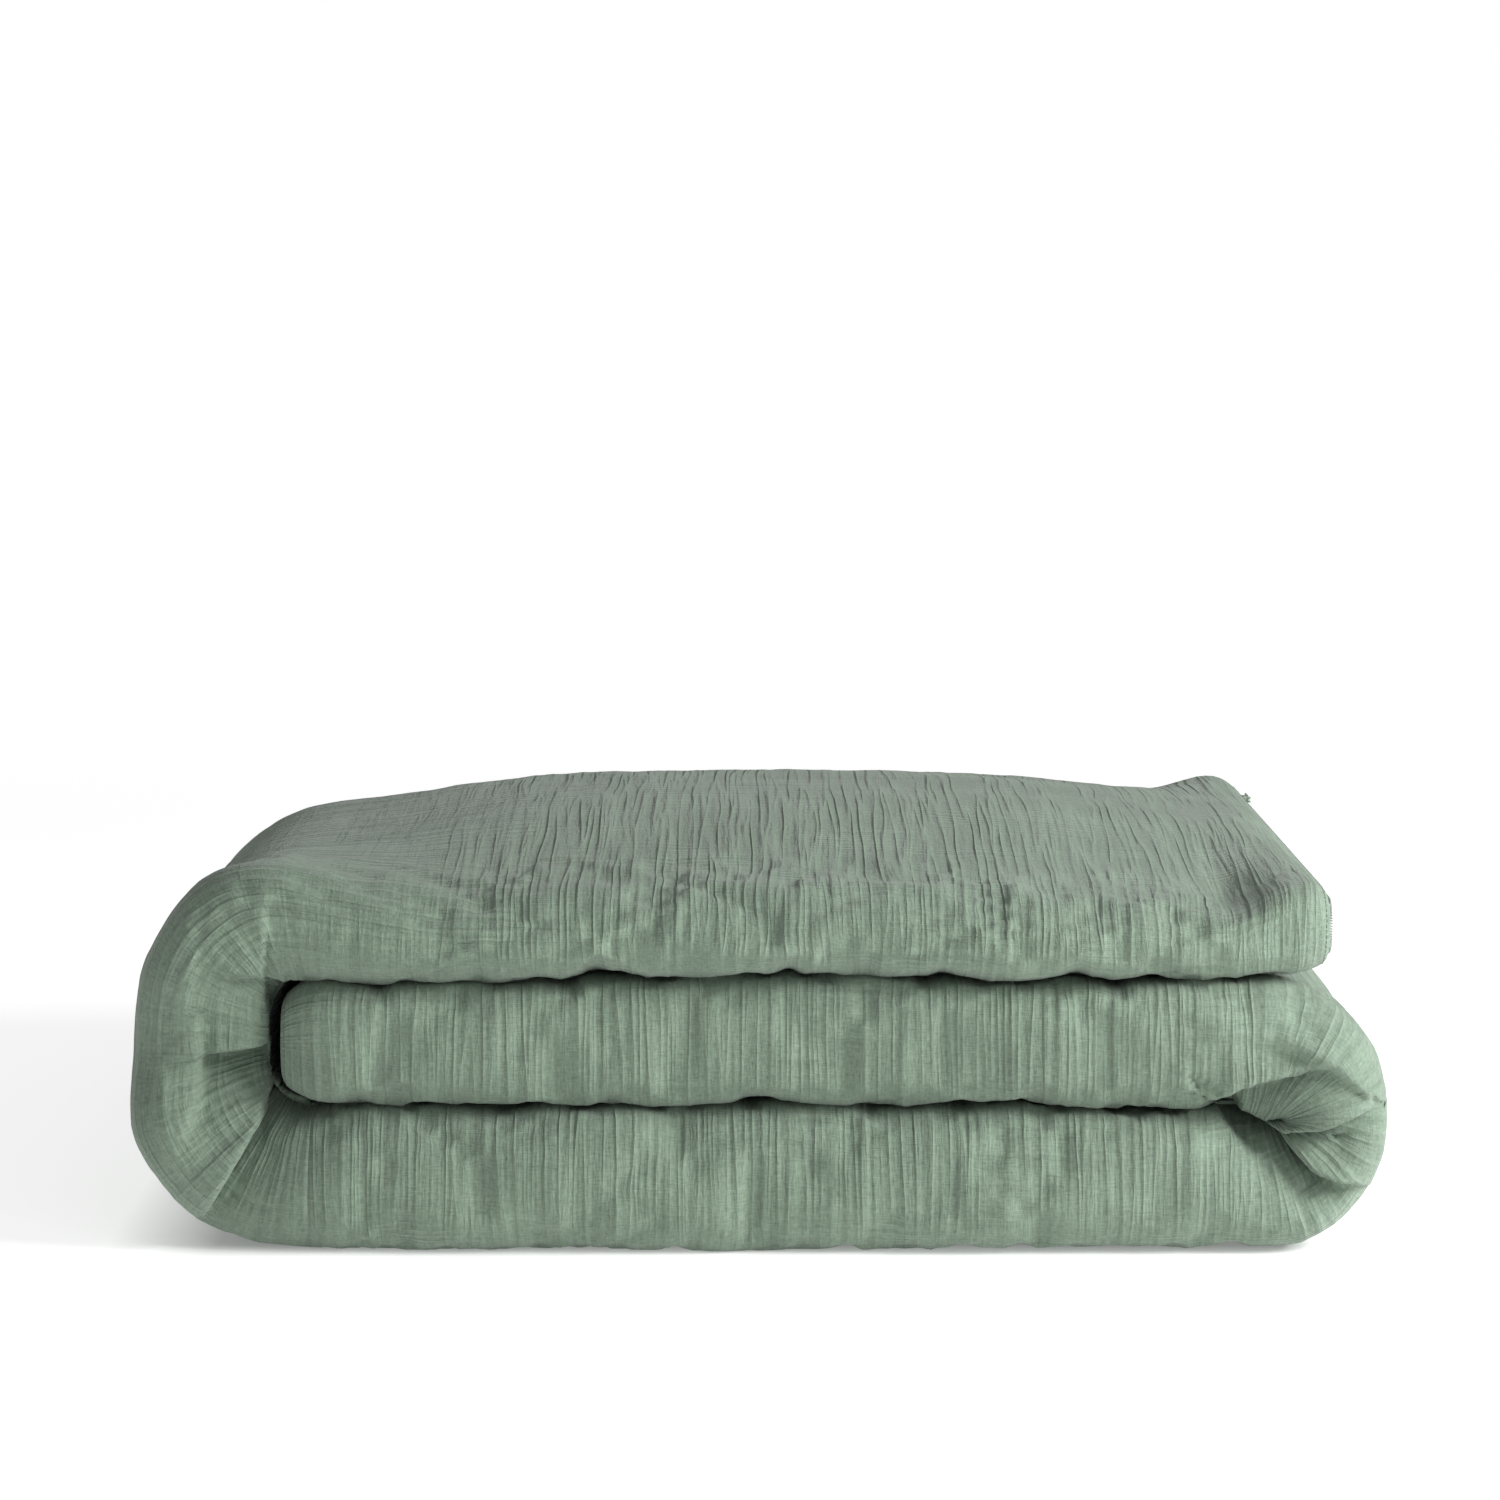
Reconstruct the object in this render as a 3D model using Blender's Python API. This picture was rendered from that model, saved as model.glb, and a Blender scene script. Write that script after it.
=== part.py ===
"""Folded duvet: a filled duvet inside its zipped cover, halved and then folded in thirds.

Metres, +Z up. The stack stands on Z = 0, centred on X = Y = 0. The half fold faces -Y, the
open side seams face +Y, and the free foot end with its zip faces +X.

The cloth is laid out in unfolded coordinates: s runs along the duvet from its head end, y runs
across the stack, and w runs through one doubled layer from its outer side. fold() bends that
space into the stack: middle layer, right bend, base layer, left bend, top layer.
"""

import math
from typing import NamedTuple

import bmesh
import bpy
from mathutils import Matrix, Vector

# Stack
STACK_WIDTH = 0.78
STACK_DEPTH = 0.76
LAYER = 0.088
MIDDLE_LAYER = 0.079
LAYER_GAP = 0.0005
RIGHT_BEND = 0.0835
RIGHT_BEND_INSIDE = 0.02
LEFT_BEND = 0.11
LEFT_BEND_INSIDE = 0.045
HEAD_SETBACK = 0.091
FOOT_SETBACK = 0.036
FOOT_TAPER = 0.30
FOOT_DROP = 0.020
PIVOT_PAST_BEND = 0.02

# Cloth and filling
COVER_CLOTH = 0.0012
TICKING_CLOTH = 0.0008
FILLING_EDGE = 0.0006
FILLING_NARROWER = 0.005
SIDE_NOSE = 0.06
END_NOSE = 0.05
INSERT_SHORTER = 0.03
INSERT_NARROWER = 0.004

# Clearances
TOUCH = 0.0003
FIT = 0.0005
FOLD_SLIT = 0.0006

# Zip
ZIP_FROM_SIDE = 0.16
ZIP_SLOT_TAPER = 0.003
TAPE_WIDTH = 0.012
TAPE_CLOTH = 0.0005
COIL_WIDTH = 0.002
COIL_INSIDE = 0.0012
COIL_PROUD = 0.002
STOP_LENGTH = 0.003
STOP_PROUD = 0.0026
SLIDER_LENGTH = 0.009
SLIDER_HEIGHT = 0.006
SLIDER_ROOF = 0.002
LUG_WALL = 0.0007
PIN_RADIUS = 0.0007
PULL_RING = 0.0014
PULL_LENGTH = 0.022
PULL_WIDTH = 0.005
PULL_THICKNESS = 0.001
PULL_NECK = 0.0032

# Ties and label
TIE_FROM_SIDE = 0.07
TIE_CORD = 0.0008
TIE_HALF_HEIGHT = 0.005
TIE_FROM_SEAM = 0.003
LOOP_RADIUS = 0.005
LABEL_WIDTH = 0.03
LABEL_DROP = 0.022
LABEL_CLOTH = 0.0006
LABEL_FROM_SEAM = 0.002
LABEL_FROM_ZIP = 0.015

# Facets
NOSE_STEPS = 3
FRONT_STEPS = 8
BEND_STEPS = 10
TAPER_STEPS = 5
ROUND_STEPS = 20

# Places that follow from the sizes
PLY = LAYER / 2
STACK_HEIGHT = 2 * LAYER + MIDDLE_LAYER + 2 * LAYER_GAP
MIDDLE_TOP = LAYER + LAYER_GAP + MIDDLE_LAYER
RIGHT_X = STACK_WIDTH / 2 - RIGHT_BEND
LEFT_X = LEFT_BEND - STACK_WIDTH / 2
HEAD_X = HEAD_SETBACK - STACK_WIDTH / 2
FOOT_X = STACK_WIDTH / 2 - FOOT_SETBACK
FRONT_Y = LAYER / 2 - STACK_DEPTH / 2
SEAM_Y = STACK_DEPTH / 2
ZIP_REAR = SEAM_Y - ZIP_FROM_SIDE
RIGHT_START = RIGHT_X - HEAD_X
RIGHT_END = RIGHT_START + math.pi * (RIGHT_BEND + RIGHT_BEND_INSIDE) / 2
LEFT_START = RIGHT_END + RIGHT_X - LEFT_X
LEFT_END = LEFT_START + math.pi * (LEFT_BEND + LEFT_BEND_INSIDE) / 2
LENGTH = LEFT_END + FOOT_X - LEFT_X
FLAP_PIVOT = Vector((LEFT_X - PIVOT_PAST_BEND, 0, STACK_HEIGHT / 2))
INSERT_INSET = COVER_CLOTH + FIT
FILLING_INSET = INSERT_INSET + TICKING_CLOTH + FIT
COIL_SLOT = COIL_WIDTH / 2 + TOUCH
SEAM_SLOT = TOUCH / 2
ZIP_Z = STACK_HEIGHT - PLY / 2 - FOOT_DROP * (1 - PLY / 2 / LAYER)
SLIDER_Y = ZIP_REAR - STOP_LENGTH - 2 * TOUCH - SLIDER_LENGTH / 2
LUG_RADIUS = PULL_RING + TOUCH
LUG_X = FOOT_X + COIL_PROUD + TOUCH + SLIDER_ROOF + LUG_RADIUS

SAGE = (0.26, 0.32, 0.26)
WHITE = (0.86, 0.86, 0.84)
CREAM = (0.80, 0.78, 0.72)
ZIP_GREEN = (0.22, 0.28, 0.22)
METAL_GREEN = (0.30, 0.36, 0.30)


class Row(NamedTuple):
    """A line across the duvet: its place, how far the end nose carries it, and its fullness."""

    s: float
    reach: float = 0.0
    full: float = 1.0
    foot: bool = False


class Station(NamedTuple):
    """A line along the duvet at mid ply: its place, outward direction and fullness."""

    y: float
    w: float
    out_y: float
    out_w: float
    reach: float = 0.0
    full: float = 1.0
    zipped: bool = False


class Skin(NamedTuple):
    """One surface of a cloth: +1 on the face side or -1 on the back, its inset and seam offset."""

    side: int
    inset: float
    seam: float
    narrower: float = 0.0


def bend_point(centre_x, outward, outer, inner, angle, depth):
    """A point in a bend between an outer and an inner half ellipse, as (radius, z, half height)."""
    radius = outer[0] + (inner[0] - outer[0]) * depth
    middle = outer[1] + (inner[1] - outer[1]) * depth
    height = outer[2] + (inner[2] - outer[2]) * depth
    return centre_x + outward * radius * math.sin(angle), middle + height * math.cos(angle)


def foot_drop(s):
    """How far the top layer's upper side has come down towards the thinner foot end."""
    run = max(0.0, s - LENGTH + FOOT_TAPER) / FOOT_TAPER
    return FOOT_DROP * run**2


def fold(s, y, w):
    """Bend an unfolded point into the stack."""
    depth = w / LAYER
    if s < RIGHT_START:
        return Vector((HEAD_X + s, y, MIDDLE_TOP - depth * MIDDLE_LAYER))
    if s < RIGHT_END:
        angle = math.pi * (s - RIGHT_START) / (RIGHT_END - RIGHT_START)
        outer = (RIGHT_BEND, MIDDLE_TOP / 2, MIDDLE_TOP / 2)
        inner = (RIGHT_BEND_INSIDE, LAYER + LAYER_GAP / 2, LAYER_GAP / 2)
        x, z = bend_point(RIGHT_X, 1, outer, inner, angle, depth)
        return Vector((x, y, z))
    if s < LEFT_START:
        return Vector((RIGHT_X - (s - RIGHT_END), y, w))
    if s < LEFT_END:
        angle = math.pi * (s - LEFT_START) / (LEFT_END - LEFT_START)
        outer = (LEFT_BEND, STACK_HEIGHT / 2, -STACK_HEIGHT / 2)
        inner = (LEFT_BEND_INSIDE, STACK_HEIGHT / 2, -MIDDLE_LAYER / 2 - LAYER_GAP)
        x, z = bend_point(LEFT_X, -1, outer, inner, angle, depth)
        return Vector((x, y, z))
    return Vector((LEFT_X + s - LEFT_END, y, STACK_HEIGHT - w - foot_drop(s) * (1 - depth)))


def quarter(step):
    """Reach and fullness of a nose, from its tip (0) to its full height (NOSE_STEPS)."""
    angle = math.pi / 2 * step / NOSE_STEPS
    return math.cos(angle), math.sin(angle)


def ply_stations(w, out_w):
    """Stations along one ply, from its side seam to the front fold."""
    stations = []
    for step in range(NOSE_STEPS + 1):
        reach, full = quarter(step)
        stations.append(Station(SEAM_Y - SIDE_NOSE, w, 0, out_w, reach, full))
    stations.append(Station(ZIP_REAR + ZIP_SLOT_TAPER, w, 0, out_w))
    stations.append(Station(ZIP_REAR, w, 0, out_w, zipped=True))
    return stations


def front_stations():
    """Stations round the front fold, from the outer ply to the inner one."""
    stations = []
    for step in range(FRONT_STEPS + 1):
        angle = math.pi * step / FRONT_STEPS
        out_y = -math.sin(angle)
        out_w = -math.cos(angle)
        y = FRONT_Y + out_y * PLY / 2
        stations.append(Station(y, PLY + out_w * PLY / 2, out_y, out_w, zipped=True))
    return stations


def whole_section():
    """Stations all the way round the doubled duvet, seam to seam."""
    near = ply_stations(PLY / 2, -1)
    far = ply_stations(LAYER - PLY / 2, 1)
    return near + front_stations() + far[::-1]


def zip_section():
    """The stations that the zip runs along, from its rear end to its far one."""
    return [station for station in whole_section() if station.zipped]


def head_rows(shorter):
    """Rows of the rounded head end."""
    rows = []
    for step in range(NOSE_STEPS + 1):
        reach, full = quarter(step)
        rows.append(Row(END_NOSE + shorter, -reach, full))
    return rows


def foot_rows(shorter):
    """Rows of the rounded foot end."""
    rows = []
    for step in range(NOSE_STEPS + 1):
        reach, full = quarter(step)
        rows.append(Row(LENGTH - END_NOSE - shorter, reach, full, foot=True))
    return rows[::-1]


def bend_rows(start, end):
    """Rows through a bend."""
    return [Row(start + (end - start) * step / BEND_STEPS) for step in range(BEND_STEPS + 1)]


def base_rows(shorter=0.0):
    """Rows of the middle layer, the right bend and the base layer."""
    return head_rows(shorter) + bend_rows(RIGHT_START, RIGHT_END) + [Row(LEFT_START - TOUCH)]


def top_rows(shorter=0.0):
    """Rows of the top layer."""
    taper = [Row(LENGTH - FOOT_TAPER * (1 - step / TAPER_STEPS)) for step in range(TAPER_STEPS - 1)]
    return [Row(LEFT_END + TOUCH)] + taper + foot_rows(shorter)


def skin_point(row, station, skin):
    """Where a cloth surface crosses a row and a station."""
    s = row.s + row.reach * (END_NOSE - skin.inset - skin.narrower)
    y = station.y + station.reach * (SIDE_NOSE - skin.inset - skin.narrower)
    widened = COIL_SLOT - SEAM_SLOT if row.foot and station.zipped else 0.0
    seam = skin.seam + widened
    flat = PLY / 2 - skin.inset
    if skin.side < 0:
        flat -= FOLD_SLIT / 2
    offset = skin.side * (seam + (flat - seam) * row.full * station.full)
    return fold(s, y + station.out_y * offset, station.w + station.out_w * offset)


def slab(name, rows, stations, near, far):
    """One closed body between two surfaces over the same rows and stations."""
    across = len(stations) - 1
    along = len(rows) - 1
    bm = bmesh.new()
    bmesh.ops.create_grid(bm, x_segments=across, y_segments=along, size=0.5)
    bmesh.ops.triangulate(bm, faces=bm.faces[:], quad_method="FIXED")
    extruded = bmesh.ops.extrude_face_region(bm, geom=bm.faces[:])["geom"]
    lifted = {part for part in extruded if isinstance(part, bmesh.types.BMVert)}
    for vert in bm.verts:
        station = stations[round((vert.co.x + 0.5) * across)]
        row = rows[round((vert.co.y + 0.5) * along)]
        surface = far if vert in lifted else near
        vert.co = surface(row, station)
    bmesh.ops.recalc_face_normals(bm, faces=bm.faces[:])
    return mesh_object(name, bm)


def mesh_object(name, bm):
    """Turn a bmesh into an object of the model."""
    mesh = bpy.data.meshes.new(name)
    bm.to_mesh(mesh)
    bm.free()
    obj = bpy.data.objects.new(name, mesh)
    PARTS.objects.link(obj)
    return obj


def finish(obj, colour, roughness, metallic=0.0, pivot=None):
    """Give an object its own material and hang it from its pivot, if it moves."""
    material = bpy.data.materials.new(obj.name)
    material.use_nodes = True
    shader = material.node_tree.nodes["Principled BSDF"]
    shader.inputs["Base Color"].default_value = (*colour, 1)
    shader.inputs["Roughness"].default_value = roughness
    shader.inputs["Metallic"].default_value = metallic
    obj.data.materials.clear()
    obj.data.materials.append(material)
    if pivot is not None:
        obj.parent = pivot
        obj.location = obj.location - pivot.location
    return obj


def pivot_at(name, place):
    """An empty on a joint's axis."""
    empty = bpy.data.objects.new(name, None)
    empty.location = place
    empty.empty_display_size = 0.03
    PARTS.objects.link(empty)
    return empty


def cloth_pair(name, rows, outer_inset, thickness, narrower, look, pivot):
    """The face and back cloths of a cover or a ticking along some rows."""
    section = whole_section()
    for label, side in (("face", 1), ("back", -1)):
        outside = Skin(side, outer_inset, SEAM_SLOT + thickness, narrower)
        inside = Skin(side, outer_inset + thickness, SEAM_SLOT, narrower)
        obj = slab(
            name.format(label),
            rows,
            section,
            lambda row, station, skin=outside: skin_point(row, station, skin),
            lambda row, station, skin=inside: skin_point(row, station, skin),
        )
        finish(obj, *look, pivot=pivot)


def make_length(label, cover_rows, insert_rows, pivot):
    """Cover, ticking and filling along one length of the duvet."""
    cloth_pair("cover_{}_" + label, cover_rows, 0.0, COVER_CLOTH, 0.0, (SAGE, 0.9), pivot)
    cloth_pair(
        "ticking_{}_" + label,
        insert_rows,
        INSERT_INSET,
        TICKING_CLOTH,
        INSERT_NARROWER,
        (WHITE, 0.85),
        pivot,
    )
    narrower = INSERT_NARROWER + FILLING_NARROWER
    upper = Skin(1, FILLING_INSET, FILLING_EDGE / 2, narrower)
    lower = Skin(-1, FILLING_INSET, FILLING_EDGE / 2, narrower)
    filling = slab(
        "filling_" + label,
        insert_rows,
        whole_section(),
        lambda row, station: skin_point(row, station, upper),
        lambda row, station: skin_point(row, station, lower),
    )
    finish(filling, WHITE, 0.95, pivot=pivot)


def strip(name, stations, start, end, low, high):
    """A strip along the zip between two places along the duvet and two offsets from mid ply."""
    rows = [Row(start), Row(end)]

    def point(offset):
        return lambda row, station: fold(
            row.s, station.y + station.out_y * offset, station.w + station.out_w * offset
        )

    return slab(name, rows, stations, point(low), point(high))


def make_zip(pivot):
    """Tapes, coil and stops of the foot-end zip."""
    tape_stations = zip_section()
    start = LENGTH - COIL_INSIDE - TOUCH - TAPE_WIDTH
    end = LENGTH - COIL_INSIDE - TOUCH
    for label, side in (("face", 1), ("back", -1)):
        low = side * SEAM_SLOT
        high = side * (SEAM_SLOT + TAPE_CLOTH)
        tape = strip("zip_tape_" + label, tape_stations, start, end, low, high)
        finish(tape, ZIP_GREEN, 0.8, pivot=pivot)
    coil_end = ZIP_REAR - STOP_LENGTH - TOUCH
    coil_stations = [
        station._replace(y=coil_end) if station.y == ZIP_REAR else station
        for station in tape_stations
    ]
    coil = strip(
        "zip_coil",
        coil_stations,
        LENGTH - COIL_INSIDE,
        LENGTH + COIL_PROUD,
        -COIL_WIDTH / 2,
        COIL_WIDTH / 2,
    )
    finish(coil, ZIP_GREEN, 0.5, pivot=pivot)
    for name, station in (
        ("zip_top_stop", tape_stations[0]),
        ("zip_bottom_stop", tape_stations[-1]),
    ):
        ends = [station, station._replace(y=ZIP_REAR - STOP_LENGTH)]
        stop = strip(
            name,
            ends,
            LENGTH - COIL_INSIDE,
            LENGTH + STOP_PROUD,
            -COIL_WIDTH / 2,
            COIL_WIDTH / 2,
        )
        finish(stop, METAL_GREEN, 0.45, 0.8, pivot)


def box(low, high):
    """A bmesh box between two corners."""
    size = Vector(high) - Vector(low)
    middle = (Vector(high) + Vector(low)) / 2
    bm = bmesh.new()
    matrix = Matrix.Translation(middle) @ Matrix.Diagonal((*size, 1))
    bmesh.ops.create_cube(bm, size=1, matrix=matrix)
    return bm


def upright_cylinder(radius, height):
    """A bmesh cylinder on the Z axis, centred on the origin."""
    bm = bmesh.new()
    bmesh.ops.create_cone(
        bm,
        cap_ends=True,
        segments=ROUND_STEPS,
        radius1=radius,
        radius2=radius,
        depth=height,
    )
    return bm


def combine(target, operation, name, bm):
    """Join or cut the target with a shape kept among the cutters."""
    tool = mesh_object(name, bm)
    PARTS.objects.unlink(tool)
    CUTTERS.objects.link(tool)
    tool.location = target.location
    tool.hide_render = True
    tool.display_type = "WIRE"
    modifier = target.modifiers.new(name, "BOOLEAN")
    modifier.operation = operation
    modifier.solver = "EXACT"
    modifier.object = tool


def make_slider(pivot):
    """The slider: a channel over the coil, with a lug and a pin for its pull."""
    half_length = SLIDER_LENGTH / 2
    half_height = SLIDER_HEIGHT / 2
    back = FOOT_X + TOUCH - LUG_X
    face = -LUG_RADIUS
    body = box((back, -half_length, -half_height), (face, half_length, half_height))
    slider = mesh_object("zip_slider", body)
    slider.location = (LUG_X, SLIDER_Y, ZIP_Z)
    channel_roof = face - SLIDER_ROOF
    channel = box(
        (back - TOUCH, -SLIDER_LENGTH, -COIL_SLOT),
        (channel_roof, SLIDER_LENGTH, COIL_SLOT),
    )
    combine(slider, "DIFFERENCE", "slider_channel", channel)
    gap = COIL_WIDTH / 2 + TOUCH
    for label, side in (("upper", 1), ("lower", -1)):
        near = side * gap
        far = side * (gap + LUG_WALL)
        lug = box(
            (face - SLIDER_ROOF / 2, -LUG_RADIUS, min(near, far)),
            (LUG_RADIUS, LUG_RADIUS, max(near, far)),
        )
        combine(slider, "UNION", f"slider_lug_{label}", lug)
    pin = upright_cylinder(PIN_RADIUS, 2 * gap + LUG_WALL)
    combine(slider, "UNION", "slider_pin", pin)
    finish(slider, METAL_GREEN, 0.4, 0.8, pivot)
    return slider


def make_pull(pivot):
    """The pull: a tab whose ring turns on the slider's pin."""
    half_ring = COIL_WIDTH / 2
    pull = mesh_object("zip_pull", upright_cylinder(PULL_RING, COIL_WIDTH))
    pull.location = (LUG_X, SLIDER_Y, ZIP_Z)
    half = PULL_THICKNESS / 2
    neck = box((-half, 0, -half_ring), (half, PULL_NECK + half, half_ring))
    combine(pull, "UNION", "pull_neck", neck)
    tab = box((-half, PULL_NECK, -PULL_WIDTH / 2), (half, PULL_LENGTH, PULL_WIDTH / 2))
    combine(pull, "UNION", "pull_tab", tab)
    hole = upright_cylinder(PIN_RADIUS + TOUCH, 2 * COIL_WIDTH)
    combine(pull, "DIFFERENCE", "pull_eye", hole)
    finish(pull, METAL_GREEN, 0.4, 0.8, pivot)


def ring(name, centre_s, half_length, half_width, y, w, upright):
    """A closed loop of round cord in unfolded space, flat or standing on edge."""
    curve = bpy.data.curves.new(name, "CURVE")
    curve.dimensions = "3D"
    curve.bevel_depth = TIE_CORD
    curve.bevel_resolution = 2
    spline = curve.splines.new("POLY")
    spline.points.add(ROUND_STEPS - 1)
    spline.use_cyclic_u = True
    for index, point in enumerate(spline.points):
        angle = math.tau * index / ROUND_STEPS
        s = centre_s + half_length * math.cos(angle)
        across = half_width * math.sin(angle)
        place = fold(s, y, w + across) if upright else fold(s, y + across, w)
        point.co = (*place, 1)
    obj = bpy.data.objects.new(name, curve)
    PARTS.objects.link(obj)
    return obj


def make_corner(label, seam_s, inward, w, pivot):
    """The cover's tie and the insert's loop that it holds, at one corner."""
    y = SEAM_Y - TIE_FROM_SIDE
    insert_tip = seam_s + inward * (INSERT_SHORTER + INSERT_INSET + INSERT_NARROWER)
    loop_s = insert_tip - inward * (LOOP_RADIUS + TIE_CORD + TOUCH)
    loop = ring(f"insert_loop_{label}", loop_s, LOOP_RADIUS, LOOP_RADIUS, y, w, False)
    finish(loop, WHITE, 0.85, pivot=pivot)
    tie_outer = seam_s + inward * TIE_FROM_SEAM
    tie_centre = (tie_outer + loop_s) / 2
    half_length = abs(loop_s - tie_outer) / 2
    tie = ring(f"cover_tie_{label}", tie_centre, half_length, TIE_HALF_HEIGHT, y, w, True)
    finish(tie, SAGE, 0.9, pivot=pivot)


def make_label(pivot):
    """A blank care label sewn into the foot seam beside the zip, inside the cover."""
    rear = ZIP_REAR + LABEL_FROM_ZIP
    outer_ply = Station(rear, PLY / 2, 0, -1)
    stations = [outer_ply._replace(y=rear + LABEL_WIDTH), outer_ply]
    label = strip(
        "care_label",
        stations,
        LENGTH - LABEL_FROM_SEAM - LABEL_DROP,
        LENGTH - LABEL_FROM_SEAM,
        -LABEL_CLOTH / 2,
        LABEL_CLOTH / 2,
    )
    finish(label, CREAM, 0.7, pivot=pivot)


def start_collections(name):
    """Clear the scene and make the collections for the parts and their cutters."""
    for obj in list(bpy.data.objects):
        bpy.data.objects.remove(obj, do_unlink=True)
    parts = bpy.data.collections.new(name)
    cutters = bpy.data.collections.new(name + " cutters")
    for collection in (parts, cutters):
        bpy.context.scene.collection.children.link(collection)
    return parts, cutters


PARTS, CUTTERS = start_collections("Folded duvet")
flap = pivot_at("top_flap_pivot", FLAP_PIVOT)
left_bend_rows = bend_rows(LEFT_START, LEFT_END)
make_length("base", base_rows(), base_rows(INSERT_SHORTER), None)
make_length("bend", left_bend_rows, left_bend_rows, None)
make_length("top", top_rows(), top_rows(INSERT_SHORTER), flap)
make_zip(flap)
slider_pivot = pivot_at("slider_pivot", Vector((LUG_X, SLIDER_Y, ZIP_Z)))
make_slider(slider_pivot)
make_pull(slider_pivot)
make_corner("head_outer", 0.0, 1, PLY / 2, None)
make_corner("head_inner", 0.0, 1, LAYER - PLY / 2, None)
make_corner("foot_outer", LENGTH, -1, PLY / 2, flap)
make_corner("foot_inner", LENGTH, -1, LAYER - PLY / 2, flap)
make_label(flap)
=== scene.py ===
"""Folded duvet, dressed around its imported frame.

A filled duvet lies folded inside its crinkled double-gauze cover: halved, and then folded in
thirds. This script builds the cover, the insert, the zip and the sewing around the frame, gives
every node its finish, and sets a plain studio round it. Metres, +Z up, the half fold facing -Y.

The cloth is laid out in unfolded coordinates: s runs along the duvet from its head end, q runs
round the doubled section from side seam to side seam, and w runs through one doubled layer.
"""

import logging
import math
from dataclasses import dataclass
from enum import Enum
from typing import Any, Sequence

import bmesh
import bpy
import numpy as np
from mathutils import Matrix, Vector


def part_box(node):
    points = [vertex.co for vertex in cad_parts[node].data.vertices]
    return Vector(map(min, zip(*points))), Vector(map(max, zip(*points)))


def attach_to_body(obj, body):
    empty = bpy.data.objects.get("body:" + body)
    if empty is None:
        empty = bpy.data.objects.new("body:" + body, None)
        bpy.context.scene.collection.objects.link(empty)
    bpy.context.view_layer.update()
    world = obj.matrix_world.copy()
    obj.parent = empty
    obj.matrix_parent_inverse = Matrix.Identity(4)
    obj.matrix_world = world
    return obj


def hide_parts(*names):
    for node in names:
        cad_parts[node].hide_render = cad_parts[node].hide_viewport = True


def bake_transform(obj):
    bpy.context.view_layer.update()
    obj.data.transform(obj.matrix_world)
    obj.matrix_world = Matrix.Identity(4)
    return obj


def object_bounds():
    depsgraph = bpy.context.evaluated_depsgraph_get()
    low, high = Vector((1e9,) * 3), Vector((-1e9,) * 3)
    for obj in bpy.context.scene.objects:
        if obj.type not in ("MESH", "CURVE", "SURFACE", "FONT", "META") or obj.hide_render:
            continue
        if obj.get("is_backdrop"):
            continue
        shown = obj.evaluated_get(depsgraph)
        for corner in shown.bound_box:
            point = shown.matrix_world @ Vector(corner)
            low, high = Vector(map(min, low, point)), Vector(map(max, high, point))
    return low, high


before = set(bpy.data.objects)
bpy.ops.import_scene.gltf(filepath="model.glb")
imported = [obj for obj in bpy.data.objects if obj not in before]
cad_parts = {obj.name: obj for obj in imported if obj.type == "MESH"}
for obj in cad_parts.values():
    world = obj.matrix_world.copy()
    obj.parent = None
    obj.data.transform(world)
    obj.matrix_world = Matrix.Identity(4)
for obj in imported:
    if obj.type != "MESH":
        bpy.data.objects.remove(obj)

log = logging.getLogger("duvet")
logging.basicConfig(level=logging.INFO, format="%(message)s")

Array = np.ndarray
Colour = tuple[float, float, float]


class Half(Enum):
    """The two lengths of the duvet that meet under the left bend."""

    LOWER = "lower"
    UPPER = "upper"


def smooth(low: float, high: float, value: Array) -> Array:
    """A smooth step from 0 at low to 1 at high."""
    t = np.clip((value - low) / (high - low), 0, 1)
    return t * t * (3 - 2 * t)


def bell(centre: float, width: float, value: Array) -> Array:
    """A soft bump of height 1 around centre."""
    return np.exp(-(((value - centre) / width) ** 2))


class ValueNoise:
    """Smooth seeded noise from -1 to 1 on a repeating lattice."""

    SIZE = 256

    def __init__(self, seed: int) -> None:
        """Fill the lattice from a seed."""
        self.lattice = np.random.default_rng(seed).uniform(-1, 1, (self.SIZE, self.SIZE))

    def __call__(self, a: Array, b: Array) -> Array:
        """Noise at lattice coordinates a and b."""
        a, b = np.broadcast_arrays(a, b)
        a_cell = np.floor(a).astype(int)
        b_cell = np.floor(b).astype(int)
        a_part = smooth(0, 1, a - a_cell)
        b_part = smooth(0, 1, b - b_cell)
        near = [a_cell % self.SIZE, (a_cell + 1) % self.SIZE]
        far = [b_cell % self.SIZE, (b_cell + 1) % self.SIZE]
        first = self.lattice[near[0], far[0]] * (1 - a_part) + self.lattice[near[1], far[0]] * a_part
        second = self.lattice[near[0], far[1]] * (1 - a_part) + self.lattice[near[1], far[1]] * a_part
        return first * (1 - b_part) + second * b_part

    def ridge(self, a: Array, b: Array, sharpness: float = 2.0) -> Array:
        """Thin raised lines from 0 to 1 where the noise crosses zero."""
        return (1 - np.abs(self(a, b))) ** (sharpness * 2)


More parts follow.
